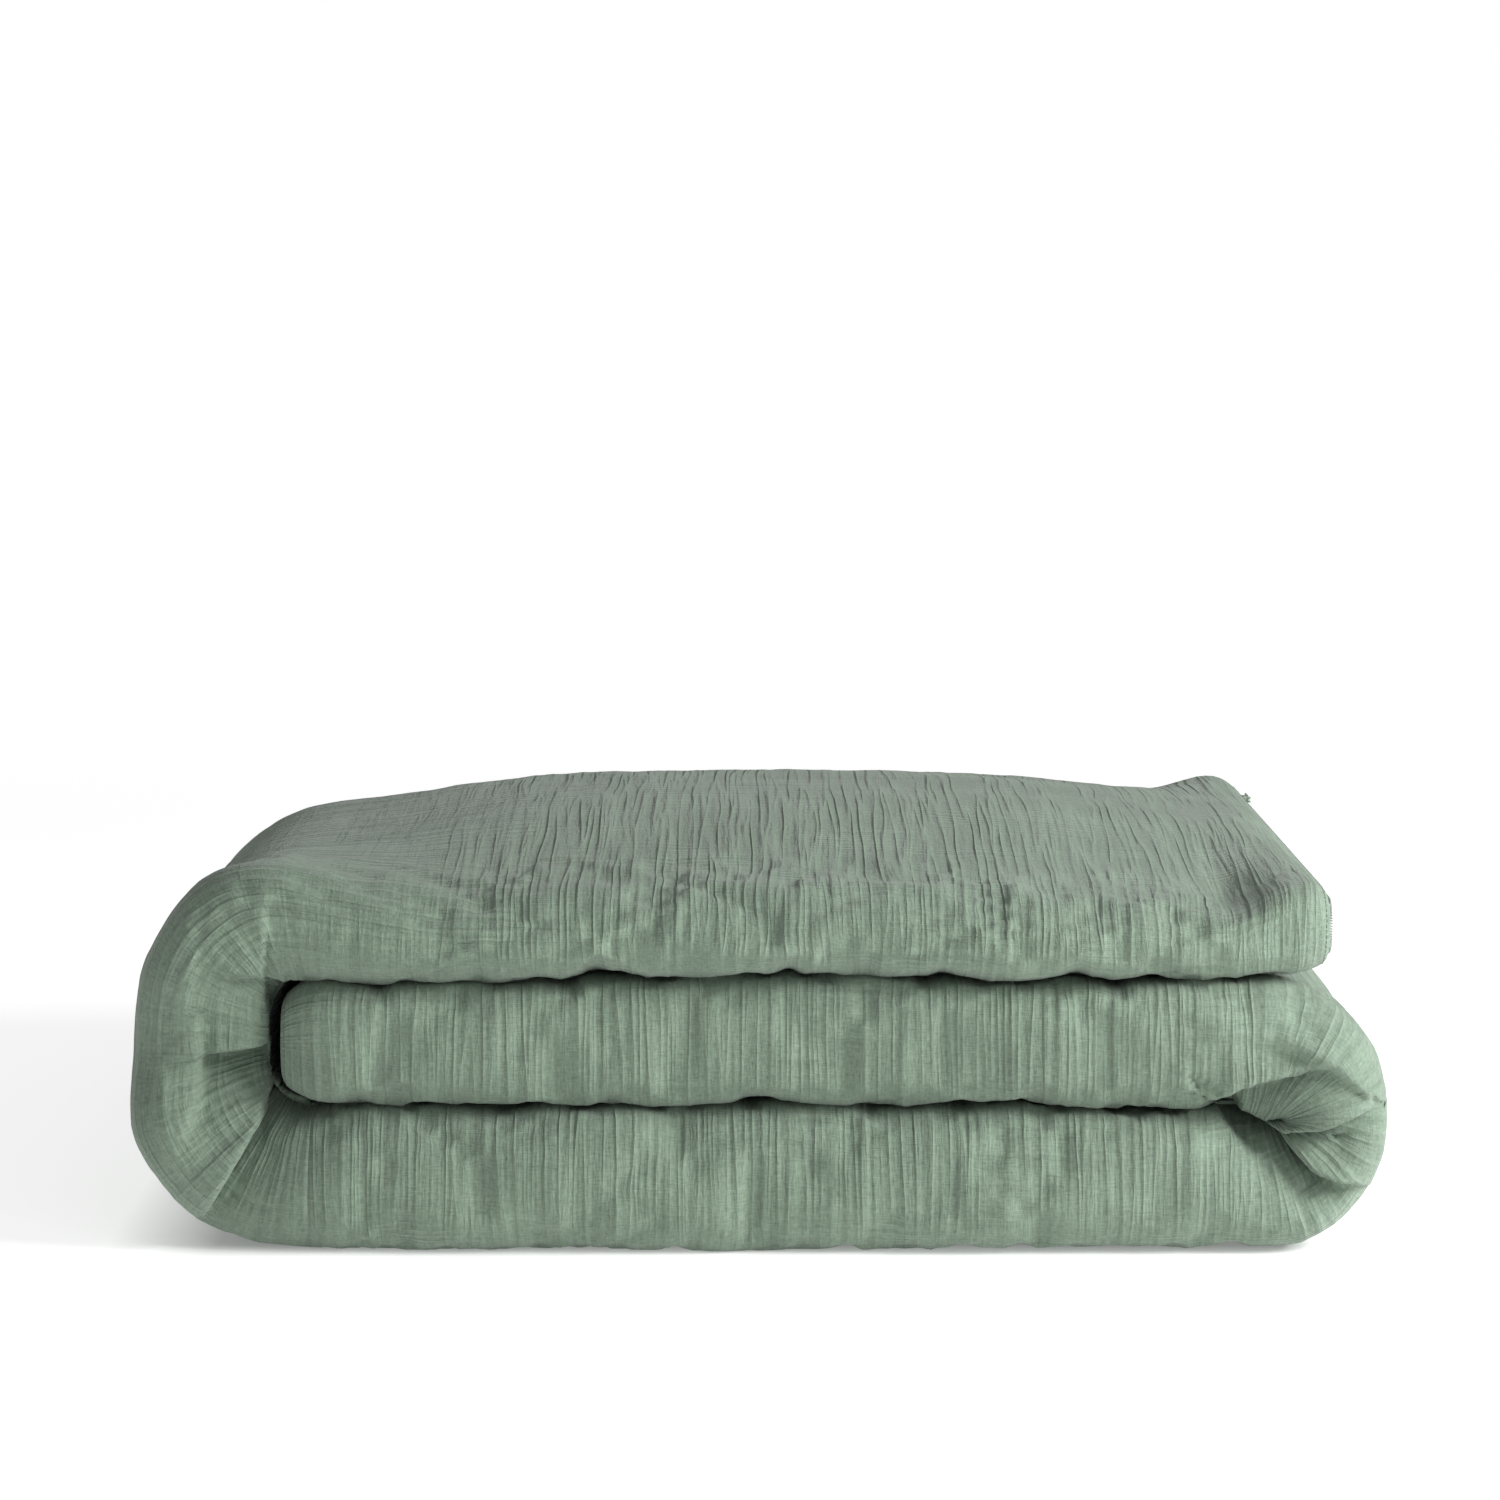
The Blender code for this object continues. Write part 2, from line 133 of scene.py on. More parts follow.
@dataclass(frozen=True)
class StackSizes:
    """Sizes of the folded stack, read from the frame, and the shape of its soft edges."""

    height: float
    layer: float
    gap: float
    middle_layer: float
    head_x: float
    foot_x: float
    left_x: float
    right_x: float
    front_y: float
    seam_y: float
    right_bend: float
    left_bend: float
    right_inside: float = 0.020
    left_inside: float = 0.030
    path_right_inside: float = 0.020
    path_left_inside: float = 0.045
    end_nose: float = 0.050
    side_nose: float = 0.055
    slit: float = 0.004
    foot_taper: float = 0.30
    foot_drop: float = 0.020

    @classmethod
    def from_frame(cls) -> "StackSizes":
        """Read the stack's sizes from the cover's nodes.

        Returns:
            The sizes.
        """
        top_low, top_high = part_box("cover_face_top")
        base_low, base_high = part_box("cover_face_base")
        bend_low, bend_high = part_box("cover_face_bend")
        layer = top_high[2] - top_low[2]
        gap = top_low[2] - base_high[2]
        right_bend = base_high[2] / 2
        return cls(
            height=top_high[2],
            layer=layer,
            gap=gap,
            middle_layer=base_high[2] - layer - gap,
            head_x=base_low[0],
            foot_x=top_high[0],
            left_x=bend_high[0],
            right_x=base_high[0] - right_bend + 0.00025,
            front_y=top_low[1] + layer / 2,
            seam_y=top_high[1],
            right_bend=right_bend,
            left_bend=bend_high[0] - bend_low[0],
        )

    @property
    def ply(self) -> float:
        """Thickness of one ply of the halved duvet."""
        return self.layer / 2

    @property
    def middle_top(self) -> float:
        """Height of the middle layer's upper side."""
        return self.layer + self.gap + self.middle_layer


class FoldPath:
    """The way the duvet runs through the stack: middle, right bend, base, left bend, top."""

    LEFT_BLUNT = 0.82
    RIGHT_BLUNT = 0.92
    LEFT_FULLER_BELOW = 0.08

    def __init__(self, sizes: StackSizes) -> None:
        """Work out where each stretch starts and ends along the duvet."""
        self.sizes = sizes
        self.right_start = sizes.right_x - sizes.head_x
        right_mean = (sizes.right_bend + sizes.path_right_inside) / 2
        left_mean = (sizes.left_bend + sizes.path_left_inside) / 2
        self.right_end = self.right_start + math.pi * right_mean
        self.left_start = self.right_end + sizes.right_x - sizes.left_x
        self.left_end = self.left_start + math.pi * left_mean
        self.length = self.left_end + sizes.foot_x - sizes.left_x

    def place(self, s: Array, y: Array, w: Array) -> Array:
        """Bend unfolded points into the stack.

        Args:
            s: Places along the duvet.
            y: Places across the stack.
            w: Depths through the doubled layer from its outer side.

        Returns:
            The points, with x, y and z on the last axis.
        """
        sizes = self.sizes
        s, y, w = np.broadcast_arrays(s, y, w)
        depth = w / sizes.layer
        right_x, right_z = self._right_bend(s, depth)
        left_x, left_z = self._left_bend(s, depth)
        stretches = [s < self.right_start, s < self.right_end, s < self.left_start, s < self.left_end]
        along = [sizes.head_x + s, right_x, sizes.right_x - (s - self.right_end), left_x]
        up = [sizes.middle_top - depth * sizes.middle_layer, right_z, w, left_z]
        x = np.select(stretches, along, sizes.left_x + s - self.left_end)
        taper = np.maximum(0, s - self.length + sizes.foot_taper) / sizes.foot_taper
        z = np.select(stretches, up, sizes.height - w - sizes.foot_drop * taper**2 * (1 - depth))
        return np.stack([x, y, z], axis=-1)

    def _right_bend(self, s: Array, depth: Array) -> tuple[Array, Array]:
        """The x and z of points in the bend from the middle layer down to the base."""
        sizes = self.sizes
        turn = np.clip((s - self.right_start) / (self.right_end - self.right_start), 0, 1) * math.pi
        radius = sizes.right_bend + (sizes.right_inside - sizes.right_bend) * depth
        centre = sizes.middle_top / 2 * (1 - depth) + (sizes.layer + sizes.gap / 2) * depth
        half = sizes.middle_top / 2 * (1 - depth) + sizes.gap / 2 * depth
        bulge = np.abs(np.sin(turn)) ** self.RIGHT_BLUNT
        return sizes.right_x + radius * bulge * 1.02, centre + half * np.cos(turn)

    def _left_bend(self, s: Array, depth: Array) -> tuple[Array, Array]:
        """The x and z of points in the bend from the base layer up to the top."""
        sizes = self.sizes
        turn = np.clip((s - self.left_start) / (self.left_end - self.left_start), 0, 1) * math.pi
        radius = sizes.left_bend + (sizes.left_inside - sizes.left_bend) * depth
        inner_half = sizes.middle_layer / 2 + sizes.gap
        half = sizes.height / 2 * (1 - depth) + inner_half * depth
        fuller = 1 + self.LEFT_FULLER_BELOW * smooth(0, 0.5, np.cos(turn))
        bulge = np.abs(np.sin(turn)) ** self.LEFT_BLUNT * fuller
        return sizes.left_x - radius * bulge * 1.01, sizes.height / 2 - half * np.cos(turn)


@dataclass(frozen=True)
class Spacing:
    """How finely a panel is meshed along the duvet and round its section."""

    row: float
    bend_row: float
    nose_steps: int
    arc_steps: int
    outer: float
    near_front: float
    inner: float


FINE = Spacing(0.0026, 0.0016, 12, 46, 0.0085, 0.0055, 0.022)
COARSE = Spacing(0.012, 0.008, 5, 14, 0.013, 0.012, 0.024)
INSERT = Spacing(0.024, 0.014, 5, 10, 0.03, 0.02, 0.04)


class Section:
    """The doubled duvet's section: where its seams, face and back run, column by column."""

    FRONT_BLUNT = 2.5
    NOSE_BLUNT = 2.3
    NEAR_FRONT = 0.06

    def __init__(self, sizes: StackSizes, spacing: Spacing, inset: float = 0.0) -> None:
        """Lay out the columns.

        Args:
            sizes: The stack's sizes.
            spacing: How finely to mesh.
            inset: How far inside the cover this piece lies.
        """
        self.sizes = sizes
        self.half = sizes.ply / 2 - inset
        self.front_y = sizes.front_y + 2 * inset
        self.seam_y = sizes.seam_y - inset
        self.nose = sizes.side_nose - inset
        flat_start = self.seam_y - self.nose
        near = self.front_y + self.NEAR_FRONT
        outer = np.arange(flat_start, near, -spacing.outer)[1:]
        close = np.arange(near, self.front_y, -spacing.near_front)
        inner = np.arange(near, flat_start, spacing.inner)[1:]
        self.middle: list[tuple[float, float]] = []
        self.face: list[tuple[float, float]] = []
        self.normal: list[tuple[float, float]] = []
        self.fullness: list[float] = []
        self.arc: list[bool] = []
        self._nose(spacing.nose_steps, sizes.ply / 2, -1)
        self._flat(np.concatenate([outer, close]), sizes.ply / 2, -1)
        self._front(spacing.arc_steps)
        self._flat(np.concatenate([close[::-1], inner]), sizes.layer - sizes.ply / 2, 1)
        self._nose(spacing.nose_steps, sizes.layer - sizes.ply / 2, 1)
        self.centre = np.array(self.middle)
        self.surface = np.array(self.face)
        self.out = np.array(self.normal)
        self.full = np.array(self.fullness)
        self.round = np.array(self.arc)
        steps = np.linalg.norm(np.diff(self.surface, axis=0), axis=1)
        self.q = np.concatenate([[0], np.cumsum(steps)])

    def _add(self, centre: tuple, face: tuple, out: tuple, full: float, arc: bool) -> None:
        """Add one column."""
        self.middle.append(centre)
        self.face.append(face)
        self.normal.append(out)
        self.fullness.append(full)
        self.arc.append(arc)

    def _nose(self, steps: int, w: float, out: int) -> None:
        """Add the rounded side of one ply, from its seam or back to it."""
        order = range(steps) if out < 0 else range(steps - 1, -1, -1)
        for step in order:
            angle = math.pi / 2 * step / steps
            reach = math.cos(angle) ** (2 / self.NOSE_BLUNT)
            full = math.sin(angle) ** (2 / self.NOSE_BLUNT)
            y = self.seam_y - self.nose + self.nose * reach
            self._add((y, w), (y, w + out * self.half * full), (0, out), full, False)

    def _flat(self, places: Array, w: float, out: int) -> None:
        """Add the flat stretch of one ply."""
        for y in places:
            self._add((y, w), (y, w + out * self.half), (0, out), 1.0, False)

    def _front(self, steps: int) -> None:
        """Add the front fold, from the outer ply to the inner one."""
        sizes = self.sizes
        radius = sizes.layer / 2 - (sizes.ply / 2 - self.half)
        for step in range(steps + 1):
            angle = math.pi * step / steps
            out_y, out_w = -math.sin(angle), -math.cos(angle)
            centre = (self.front_y + out_y * sizes.ply / 2, sizes.ply + out_w * sizes.ply / 2)
            blunt_y = -abs(out_y) ** (2 / self.FRONT_BLUNT)
            blunt_w = math.copysign(abs(out_w) ** (2 / self.FRONT_BLUNT), out_w)
            face = (self.front_y + blunt_y * radius, sizes.ply + blunt_w * radius)
            self._add(centre, face, (out_y, out_w), 1.0, True)

    def back_columns(self, gap: float = 0.03) -> list[int]:
        """The few columns that the hidden back panel keeps, the first and last among them."""
        kept = [0]
        for column in range(1, len(self.q) - 1):
            if self.q[column] - self.q[kept[-1]] >= (0.012 if self.round[column] else gap):
                kept.append(column)
        return kept + [len(self.q) - 1]


class Rows:
    """Lines across the duvet: their places, their reach into an end nose and their fullness."""

    END_BLUNT = 2.2

    def __init__(self, path: FoldPath, spacing: Spacing, shorter: float = 0.0) -> None:
        """Lay out the rows from the head end to the foot end."""
        nose = path.sizes.end_nose
        steps = np.arange(spacing.nose_steps) / spacing.nose_steps * math.pi / 2
        reach = np.cos(steps) ** (2 / self.END_BLUNT) * nose
        full = np.sin(steps) ** (2 / self.END_BLUNT)
        head = nose + shorter
        foot = path.length - nose - shorter
        places = [self._run(head, path.right_start, spacing.row)]
        places.append(self._run(path.right_start, path.right_end, spacing.bend_row))
        places.append(self._run(path.right_end, path.left_start, spacing.row))
        self.split = spacing.nose_steps + sum(len(run) for run in places)
        places.append(self._run(path.left_start, path.left_end, spacing.bend_row))
        places.append(self._run(path.left_end, foot, spacing.row))
        body = np.concatenate(places)
        self.s = np.concatenate([head - reach, body, (foot + reach)[::-1]])
        self.full = np.concatenate([full, np.ones(len(body)), full[::-1]])

    @staticmethod
    def _run(start: float, end: float, step: float) -> Array:
        """Even places from start up to, but not at, end."""
        return np.linspace(start, end, max(2, round((end - start) / step)), endpoint=False)


@dataclass(frozen=True)
class Pleat:
    """A fold in the front face: one steep side, and one that comes back gently.

    The line is given in x and z. The cloth drops away on its right-hand side as one walks it.
    """

    line: tuple[tuple[float, float], ...]
    depth: tuple[float, ...]
    gentle: float
    steep: float = 0.005
    lip: float = 0.004
    overhang: float = 0.003

    def apply(self, x: Array, z: Array) -> tuple[Array, Array, Array]:
        """How the pleat moves the front face.

        Args:
            x: Places along the face.
            z: Heights on the face.

        Returns:
            The push into the stack, and the shifts in x and z.
        """
        points = np.array(self.line)
        best = np.full(x.shape, np.inf)
        signed = np.zeros(x.shape)
        along = np.zeros(x.shape)
        across_x = np.zeros(x.shape)
        across_z = np.zeros(x.shape)
        count = len(points) - 1
        for index in range(count):
            start, end = points[index], points[index + 1]
            step = end - start
            length = float(np.hypot(*step))
            part = np.clip(((x - start[0]) * step[0] + (z - start[1]) * step[1]) / length**2, 0, 1)
            away_x = x - start[0] - part * step[0]
            away_z = z - start[1] - part * step[1]
            distance = np.hypot(away_x, away_z)
            side = np.sign(step[1] * away_x - step[0] * away_z)
            nearer = distance < best
            best = np.where(nearer, distance, best)
            signed = np.where(nearer, distance * side, signed)
            along = np.where(nearer, (index + part) / count, along)
            across_x = np.where(nearer, step[1] / length, across_x)
            across_z = np.where(nearer, -step[0] / length, across_z)
        depth = np.interp(along, np.linspace(0, 1, len(self.depth)), self.depth)
        strength = depth / max(self.depth)
        inside = smooth(0, self.steep, signed) * np.exp(-((np.maximum(signed, 0) / self.gentle) ** 1.5))
        before = np.where(signed < self.steep, np.exp(-(((signed - self.steep) / 0.012) ** 2)), 0)
        push = depth * inside - self.lip * strength * before * (1 - smooth(0, self.steep, signed))
        shift = self.overhang * strength * before * (1 - smooth(0, self.steep * 1.5, signed))
        return push, across_x * shift, across_z * shift


LEFT_PLEATS = (
    Pleat(
        ((-0.372, 0.1235), (-0.345, 0.126), (-0.318, 0.1305), (-0.292, 0.142)),
        (0.0, 0.016, 0.028, 0.032),
        0.045,
    ),
    Pleat(
        ((-0.350, 0.022), (-0.3387, 0.0441), (-0.318, 0.0822), (-0.3117, 0.1076), (-0.3093, 0.138)),
        (0.006, 0.022, 0.032, 0.036, 0.032),
        0.034,
        overhang=0.006,
    ),
    Pleat(
        ((-0.360, 0.072), (-0.3544, 0.0838), (-0.3505, 0.0997), (-0.3497, 0.1251)),
        (0.0, 0.007, 0.014, 0.016),
        0.030,
        steep=0.004,
    ),
    Pleat(
        ((-0.342, 0.1820), (-0.3227, 0.1770), (-0.2950, 0.1740), (-0.2700, 0.1720)),
        (0.0, 0.008, 0.012, 0.0),
        0.014,
    ),
)

RIGHT_PLEATS = (
    Pleat(
        (
            (0.270, 0.094), (0.2858, 0.1018), (0.2983, 0.108),
            (0.3191, 0.1129), (0.3399, 0.1198), (0.360, 0.1215),
        ),
        (0.002, 0.020, 0.024, 0.018, 0.010, 0.0),
        0.020,
    ),
    Pleat(
        (
            (0.283, 0.0976), (0.3191, 0.0879), (0.3302, 0.0837),
            (0.3468, 0.0837), (0.3634, 0.0893), (0.388, 0.100),
        ),
        (0.008, 0.026, 0.024, 0.020, 0.014, 0.002),
        0.022,
        overhang=0.005,
    ),
    Pleat(
        (
            (0.305, 0.093), (0.3274, 0.081), (0.3329, 0.0712),
            (0.3468, 0.056), (0.3607, 0.0505), (0.383, 0.043),
        ),
        (0.020, 0.026, 0.026, 0.024, 0.018, 0.004),
        0.024,
        overhang=0.005,
    ),
    Pleat(
        ((0.309, 0.057), (0.2955, 0.0685), (0.2858, 0.081), (0.2761, 0.096)),
        (0.0, 0.016, 0.022, 0.006),
        0.024,
    ),
    Pleat(
        ((0.350, 0.072), (0.3565, 0.0768), (0.366, 0.080)),
        (0.0, 0.008, 0.0),
        0.007,
        steep=0.003,
        overhang=0.0,
    ),
    Pleat(
        ((0.2636, 0.1434), (0.3052, 0.1378), (0.3329, 0.1323), (0.3537, 0.1212), (0.3773, 0.1018)),
        (0.0, 0.003, 0.006, 0.007, 0.004),
        0.022,
        lip=0.002,
        overhang=0.001,
    ),
)


class DuvetForm:
    """The soft shape of the folded duvet: how it settles, bunches and creases."""

    def __init__(self, path: FoldPath, seed: int = 11) -> None:
        """Keep the path and seed the noises."""
        self.path = path
        self.sizes = path.sizes
        self.noises = [ValueNoise(seed + step) for step in range(14)]

    def settle(self, points: Array) -> Array:
        """Let the stack settle: crowned, lower at the rear, with wavy lips between its layers.

        Args:
            points: Points of the plain stack.

        Returns:
            The settled points.
        """
        sizes = self.sizes
        x, y, z = points[..., 0], points[..., 1], points[..., 2]
        height = z / sizes.height
        clear_of_zip = 1 - smooth(0.285, 0.348, x) * smooth(0.330, 0.225, y)
        drop = 0.032 * smooth(0.02, 0.38, y) * clear_of_zip
        drop += 0.016 * smooth(-0.10, -0.31, x) * smooth(-0.37, -0.12, y)
        drop += 0.006 * smooth(-0.16, -0.33, x)
        drop += 0.004 * smooth(0.10, 0.30, x) * clear_of_zip
        swell = 0.004 * self.noises[0](x / 0.16 + 3, y / 0.2) * clear_of_zip
        lifted = z - drop * height**2 + swell * height**2
        slope = 0.028 * smooth(-0.06, -0.37, y) * clear_of_zip * smooth(-0.38, -0.17, x)
        slope = slope * smooth(0.0, 1.0, (z - sizes.middle_top) / sizes.layer)
        lifted = lifted - slope
        front = smooth(-0.24, -0.34, y)
        upper_lip = 0.0035 + 0.0028 * self.noises[1](x / 0.075, 0.5) + 0.0007 * self.noises[1](x / 0.02, 4.5)
        lower_lip = 0.0010 + 0.0028 * self.noises[2](x / 0.075, 0.5)
        lifted = lifted + front * upper_lip * bell(sizes.middle_top, 0.030, z) * (1 - smooth(0.30, 0.345, x))
        lifted = lifted + front * lower_lip * bell(sizes.layer, 0.026, z)
        recess = 0.012 * bell(sizes.layer + sizes.middle_layer / 2, 0.034, z) * smooth(0.30, 0.20, x)
        sway = 0.006 * self.noises[3](x / 0.17, z / 0.07 + 2) + 0.0016 * self.noises[4](x / 0.06, z / 0.04)
        return np.stack([x, y + front * (recess + sway), np.maximum(lifted, 0.0004)], axis=-1)

    def pleated(self, points: Array, s: Array, depth: float = 1.0) -> Array:
        """Bunch the front face into the pleats at both bends.

        Args:
            points: Settled points.
            s: Their places along the duvet, as a column.
            depth: How deep the pleats are next to the cover's own.

        Returns:
            The pleated points.
        """
        path = self.path
        x, y, z = points[..., 0], points[..., 1], points[..., 2]
        front = smooth(self.sizes.front_y + 0.02, self.sizes.front_y - 0.014, y)
        left = smooth(path.left_start - 0.12, path.left_start - 0.08, s)
        right = smooth(path.right_start - 0.10, path.right_start - 0.06, s)
        right = right * smooth(path.right_end + 0.12, path.right_end + 0.08, s)
        moved = points.copy()
        for pleats, near in ((LEFT_PLEATS, left), (RIGHT_PLEATS, right)):
            for pleat in pleats:
                push, shift_x, shift_z = pleat.apply(x, z)
                moved[..., 1] += push * front * near * depth
                moved[..., 0] += shift_x * front * near
                moved[..., 2] += shift_z * front * near
        return moved

    def seen(self, s: Array, section: Section) -> Array:
        """How open to view each point of the face panel is, from 0 to 1."""
        path = self.path
        q = section.q[None, :]
        front_start = section.q[section.round][0]
        front_end = section.q[section.round][-1]
        front = smooth(front_start - 0.05, front_start + 0.008, q)
        front = front * smooth(front_end + 0.03, front_end - 0.008, q)
        outer = smooth(front_start + 0.03, front_start, q)
        bends = bell((path.right_start + path.right_end) / 2, 0.075, s)
        bends = np.maximum(bends, smooth(path.left_start + 0.01, path.left_start + 0.08, s))
        rear = smooth(0.055, 0.02, np.minimum(q, section.q[-1] - q))
        ends = smooth(0.06, 0.02, np.minimum(s, path.length - s))
        shown = [front + 0 * s, outer * bends, rear * 0.7 + 0 * s, ends + 0 * q]
        return np.clip(np.maximum.reduce(shown), 0, 1)

    def along_s(self, s: Array, section: Section) -> Array:
        """How far the creases run along the duvet rather than round its fold, from 0 to 1."""
        path = self.path
        q = section.q[None, :]
        front_start = section.q[section.round][0]
        left = smooth(path.left_start + 0.02, path.left_start + 0.09, s)
        left = left * smooth(path.left_end + 0.16, path.left_end + 0.02, s)
        outer = smooth(front_start + 0.085, front_start + 0.03, q)
        patch = smooth(0.30, 0.75, self.noises[5](s / 0.09, q / 0.11))
        return np.clip(left * (0.35 + 0.65 * outer) + 0.35 * patch, 0, 1)

    def creases(self, s: Array, section: Section) -> Array:
        """How far the cover's creases stand out from its smooth form.

        Args:
            s: Places along the duvet, as a column.
            section: The section whose columns are used.

        Returns:
            Distances along the normal.
        """
        q = section.q[None, :]
        noise = self.noises
        along = self.along_s(s, section)
        path = self.path
        flat = smooth(-0.01, 0.09, section.q[section.round][0] - q)
        from_front = np.clip(q - section.q[section.round].mean(), -0.4, 0.2)
        lean = 0.26 * smooth(path.left_end - 0.1, path.left_end, s)
        lean = lean * (0.35 + 0.65 * smooth(path.left_end + 0.6, path.left_end + 0.10, s))
        bend_s = s + 0.0020 * (1 - 0.85 * flat) * noise[6](s / 0.07, q / 0.14) + lean * from_front
        bend_q = q + 0.004 * noise[7](s / 0.05, q / 0.06)
        puffs = 0.0026 * noise[8](s / 0.085, q / 0.075)
        folds = 0.0017 * (noise[9].ridge(bend_s / 0.034, bend_q / (0.42 + 0.9 * flat), 1.6) - 0.35)
        crinkle = 0.0010 * (noise[10].ridge(bend_s / 0.0115, bend_q / (0.32 + 0.6 * flat)) - 0.3)
        crinkle += 0.0006 * noise[11](bend_s / 0.0064, bend_q / 0.22)
        lines = 0.0014 * (noise[12].ridge(bend_s / 0.16, bend_q / 0.013) - 0.3)
        patchy = 0.55 + 0.45 * noise[13](s / 0.07, q / 0.05)
        round_fold = (folds + crinkle * patchy) * (1 - along) * (1 - 0.70 * flat)
        return puffs * (1 - 0.6 * flat) + round_fold + lines * along


class Panel:
    """A soft piece of the duvet, meshed in two lengths as closed forms of face and back."""

    INNER_PLEATS = 1.7

    def __init__(self, form: DuvetForm, spacing: Spacing, inset: float = 0.0, shorter: float = 0.0) -> None:
        """Lay the whole duvet out and shape its smooth form.

        Args:
            form: The duvet's soft shape.
            spacing: How finely to mesh.
            inset: How far inside the cover this piece lies.
            shorter: How much shorter it is than the cover at each end.
        """
        self.form = form
        self.section = Section(form.sizes, spacing, inset)
        self.rows = Rows(form.path, spacing, shorter)
        self.s = self.rows.s[:, None]
        full = self.rows.full[:, None]
        section = self.section
        surface = section.centre[None] + (section.surface - section.centre)[None] * full[..., None]
        pleat_depth = self.INNER_PLEATS if inset else 1.0

        def shaped(unfolded: Array) -> Array:
            """Fold, settle and pleat points given as y and w."""
            placed = form.path.place(self.s, unfolded[..., 0], unfolded[..., 1])
            return form.pleated(form.settle(placed), self.s, pleat_depth)

        self.points = shaped(surface)
        self.columns = section.back_columns()
        thickness = (section.half - form.sizes.slit / 2) * section.full[self.columns]
        centre, out = section.centre[self.columns], section.out[self.columns]
        inner = centre[None] - out[None] * (thickness[None] * full)[..., None]
        self.back = shaped(inner)

    def normals(self) -> Array:
        """Outward directions at the face's grid points."""
        along = np.gradient(self.points, axis=0)
        across = np.gradient(self.points, axis=1)
        direction = np.cross(across, along)
        length = np.linalg.norm(direction, axis=-1, keepdims=True)
        return direction / np.maximum(length, 1e-9)

    def soft_edges(self) -> Array:
        """A weight that fades to 0 at the seams and the ends."""
        q = self.section.q[None, :]
        side = smooth(0, 0.02, np.minimum(q, self.section.q[-1] - q))
        end = smooth(0, 0.02, np.minimum(self.s, self.form.path.length - self.s))
        return side * end

    def mesh(self, name: str, half: Half) -> bpy.types.Object:
        """Build the closed mesh of one half of the duvet, from its own end to the split.

        Args:
            name: Name of the object.
            half: Which half to build.

        Returns:
            The object, with the cloth's own coordinates as its UV map.
        """
        split = self.rows.split
        rows = slice(0, split + 1) if half is Half.LOWER else slice(split, None)
        face, back = self.points[rows], self.back[rows]
        count, width = face.shape[:2]
        end_row = 0 if half is Half.LOWER else count - 1
        last = len(self.columns) - 1
        own = width * count

        def face_at(row: int, column: int) -> int:
            """Number of a face vertex."""
            return row * width + column

        def back_at(row: int, place: int) -> int:
            """Number of a back vertex, which the face lends at the seams and the end."""
            if row == end_row or place in (0, last):
                return face_at(row, self.columns[place])
            return own + row * (last + 1) + place

        def face_run(row: int, place: int) -> list[int]:
            """Face vertices between two neighbouring back columns."""
            columns = range(self.columns[place], self.columns[place + 1] + 1)
            return [face_at(row, column) for column in columns]

        faces: list[Sequence[int]] = []
        for row in range(count - 1):
            for column in range(width - 1):
                here, there = face_at(row, column), face_at(row + 1, column)
                faces.append((here, there, there + 1, here + 1))
            for place in range(last):
                near = [back_at(row, place), back_at(row, place + 1)]
                far = [back_at(row + 1, place + 1), back_at(row + 1, place)]
                if row == end_row:
                    near = face_run(row, place)
                if row + 1 == end_row:
                    far = face_run(row + 1, place)[::-1]
                faces.append(near + far)
        cut = count - 1 if half is Half.LOWER else 0
        for place in range(last):
            run = face_run(cut, place)
            inner = [back_at(cut, place), back_at(cut, place + 1)]
            inner = [vertex for vertex in inner if vertex not in run]
            faces.append(run[::-1] + inner if half is Half.LOWER else run + inner[::-1])
        vertices = np.concatenate([face.reshape(-1, 3), back.reshape(-1, 3)])
        s = self.rows.s[rows]
        face_uv = np.stack(np.broadcast_arrays(s[:, None], self.section.q[None, :]), -1)
        back_uv = np.stack(np.broadcast_arrays(s[:, None], self.section.q[self.columns][None, :]), -1)
        uv = np.concatenate([face_uv.reshape(-1, 2), back_uv.reshape(-1, 2)])
        outward = [face[::-1] for face in faces]
        return closed_mesh(name, vertices, outward, uv)


def closed_mesh(name: str, vertices: Array, faces: Sequence[Sequence[int]], uv: Array) -> bpy.types.Object:
    """Make a smooth mesh object, leaving out the vertices that no face uses.

    Args:
        name: Name of the object.
        vertices: Its points.
        faces: Vertex numbers of each face.
        uv: Cloth coordinates of each vertex.

    Returns:
        The object, linked to the scene.
    """
    used = np.zeros(len(vertices), bool)
    used[np.fromiter((corner for face in faces for corner in face), int)] = True
    number = np.cumsum(used) - 1
    mesh = bpy.data.meshes.new(name)
    kept_faces = [[int(number[corner]) for corner in face] for face in faces]
    mesh.from_pydata(vertices[used].tolist(), [], kept_faces)
    corners = np.empty(len(mesh.loops), int)
    mesh.loops.foreach_get("vertex_index", corners)
    layer = mesh.uv_layers.new(name="cloth")
    layer.data.foreach_set("uv", uv[used][corners].astype(np.float32).ravel())
    mesh.polygons.foreach_set("use_smooth", np.ones(len(mesh.polygons), bool))
    mesh.update()
    return add_object(name, mesh)


def add_object(name: str, data: bpy.types.ID) -> bpy.types.Object:
    """Link a new object to the scene."""
    obj = bpy.data.objects.new(name, data)
    bpy.context.scene.collection.objects.link(obj)
    return obj


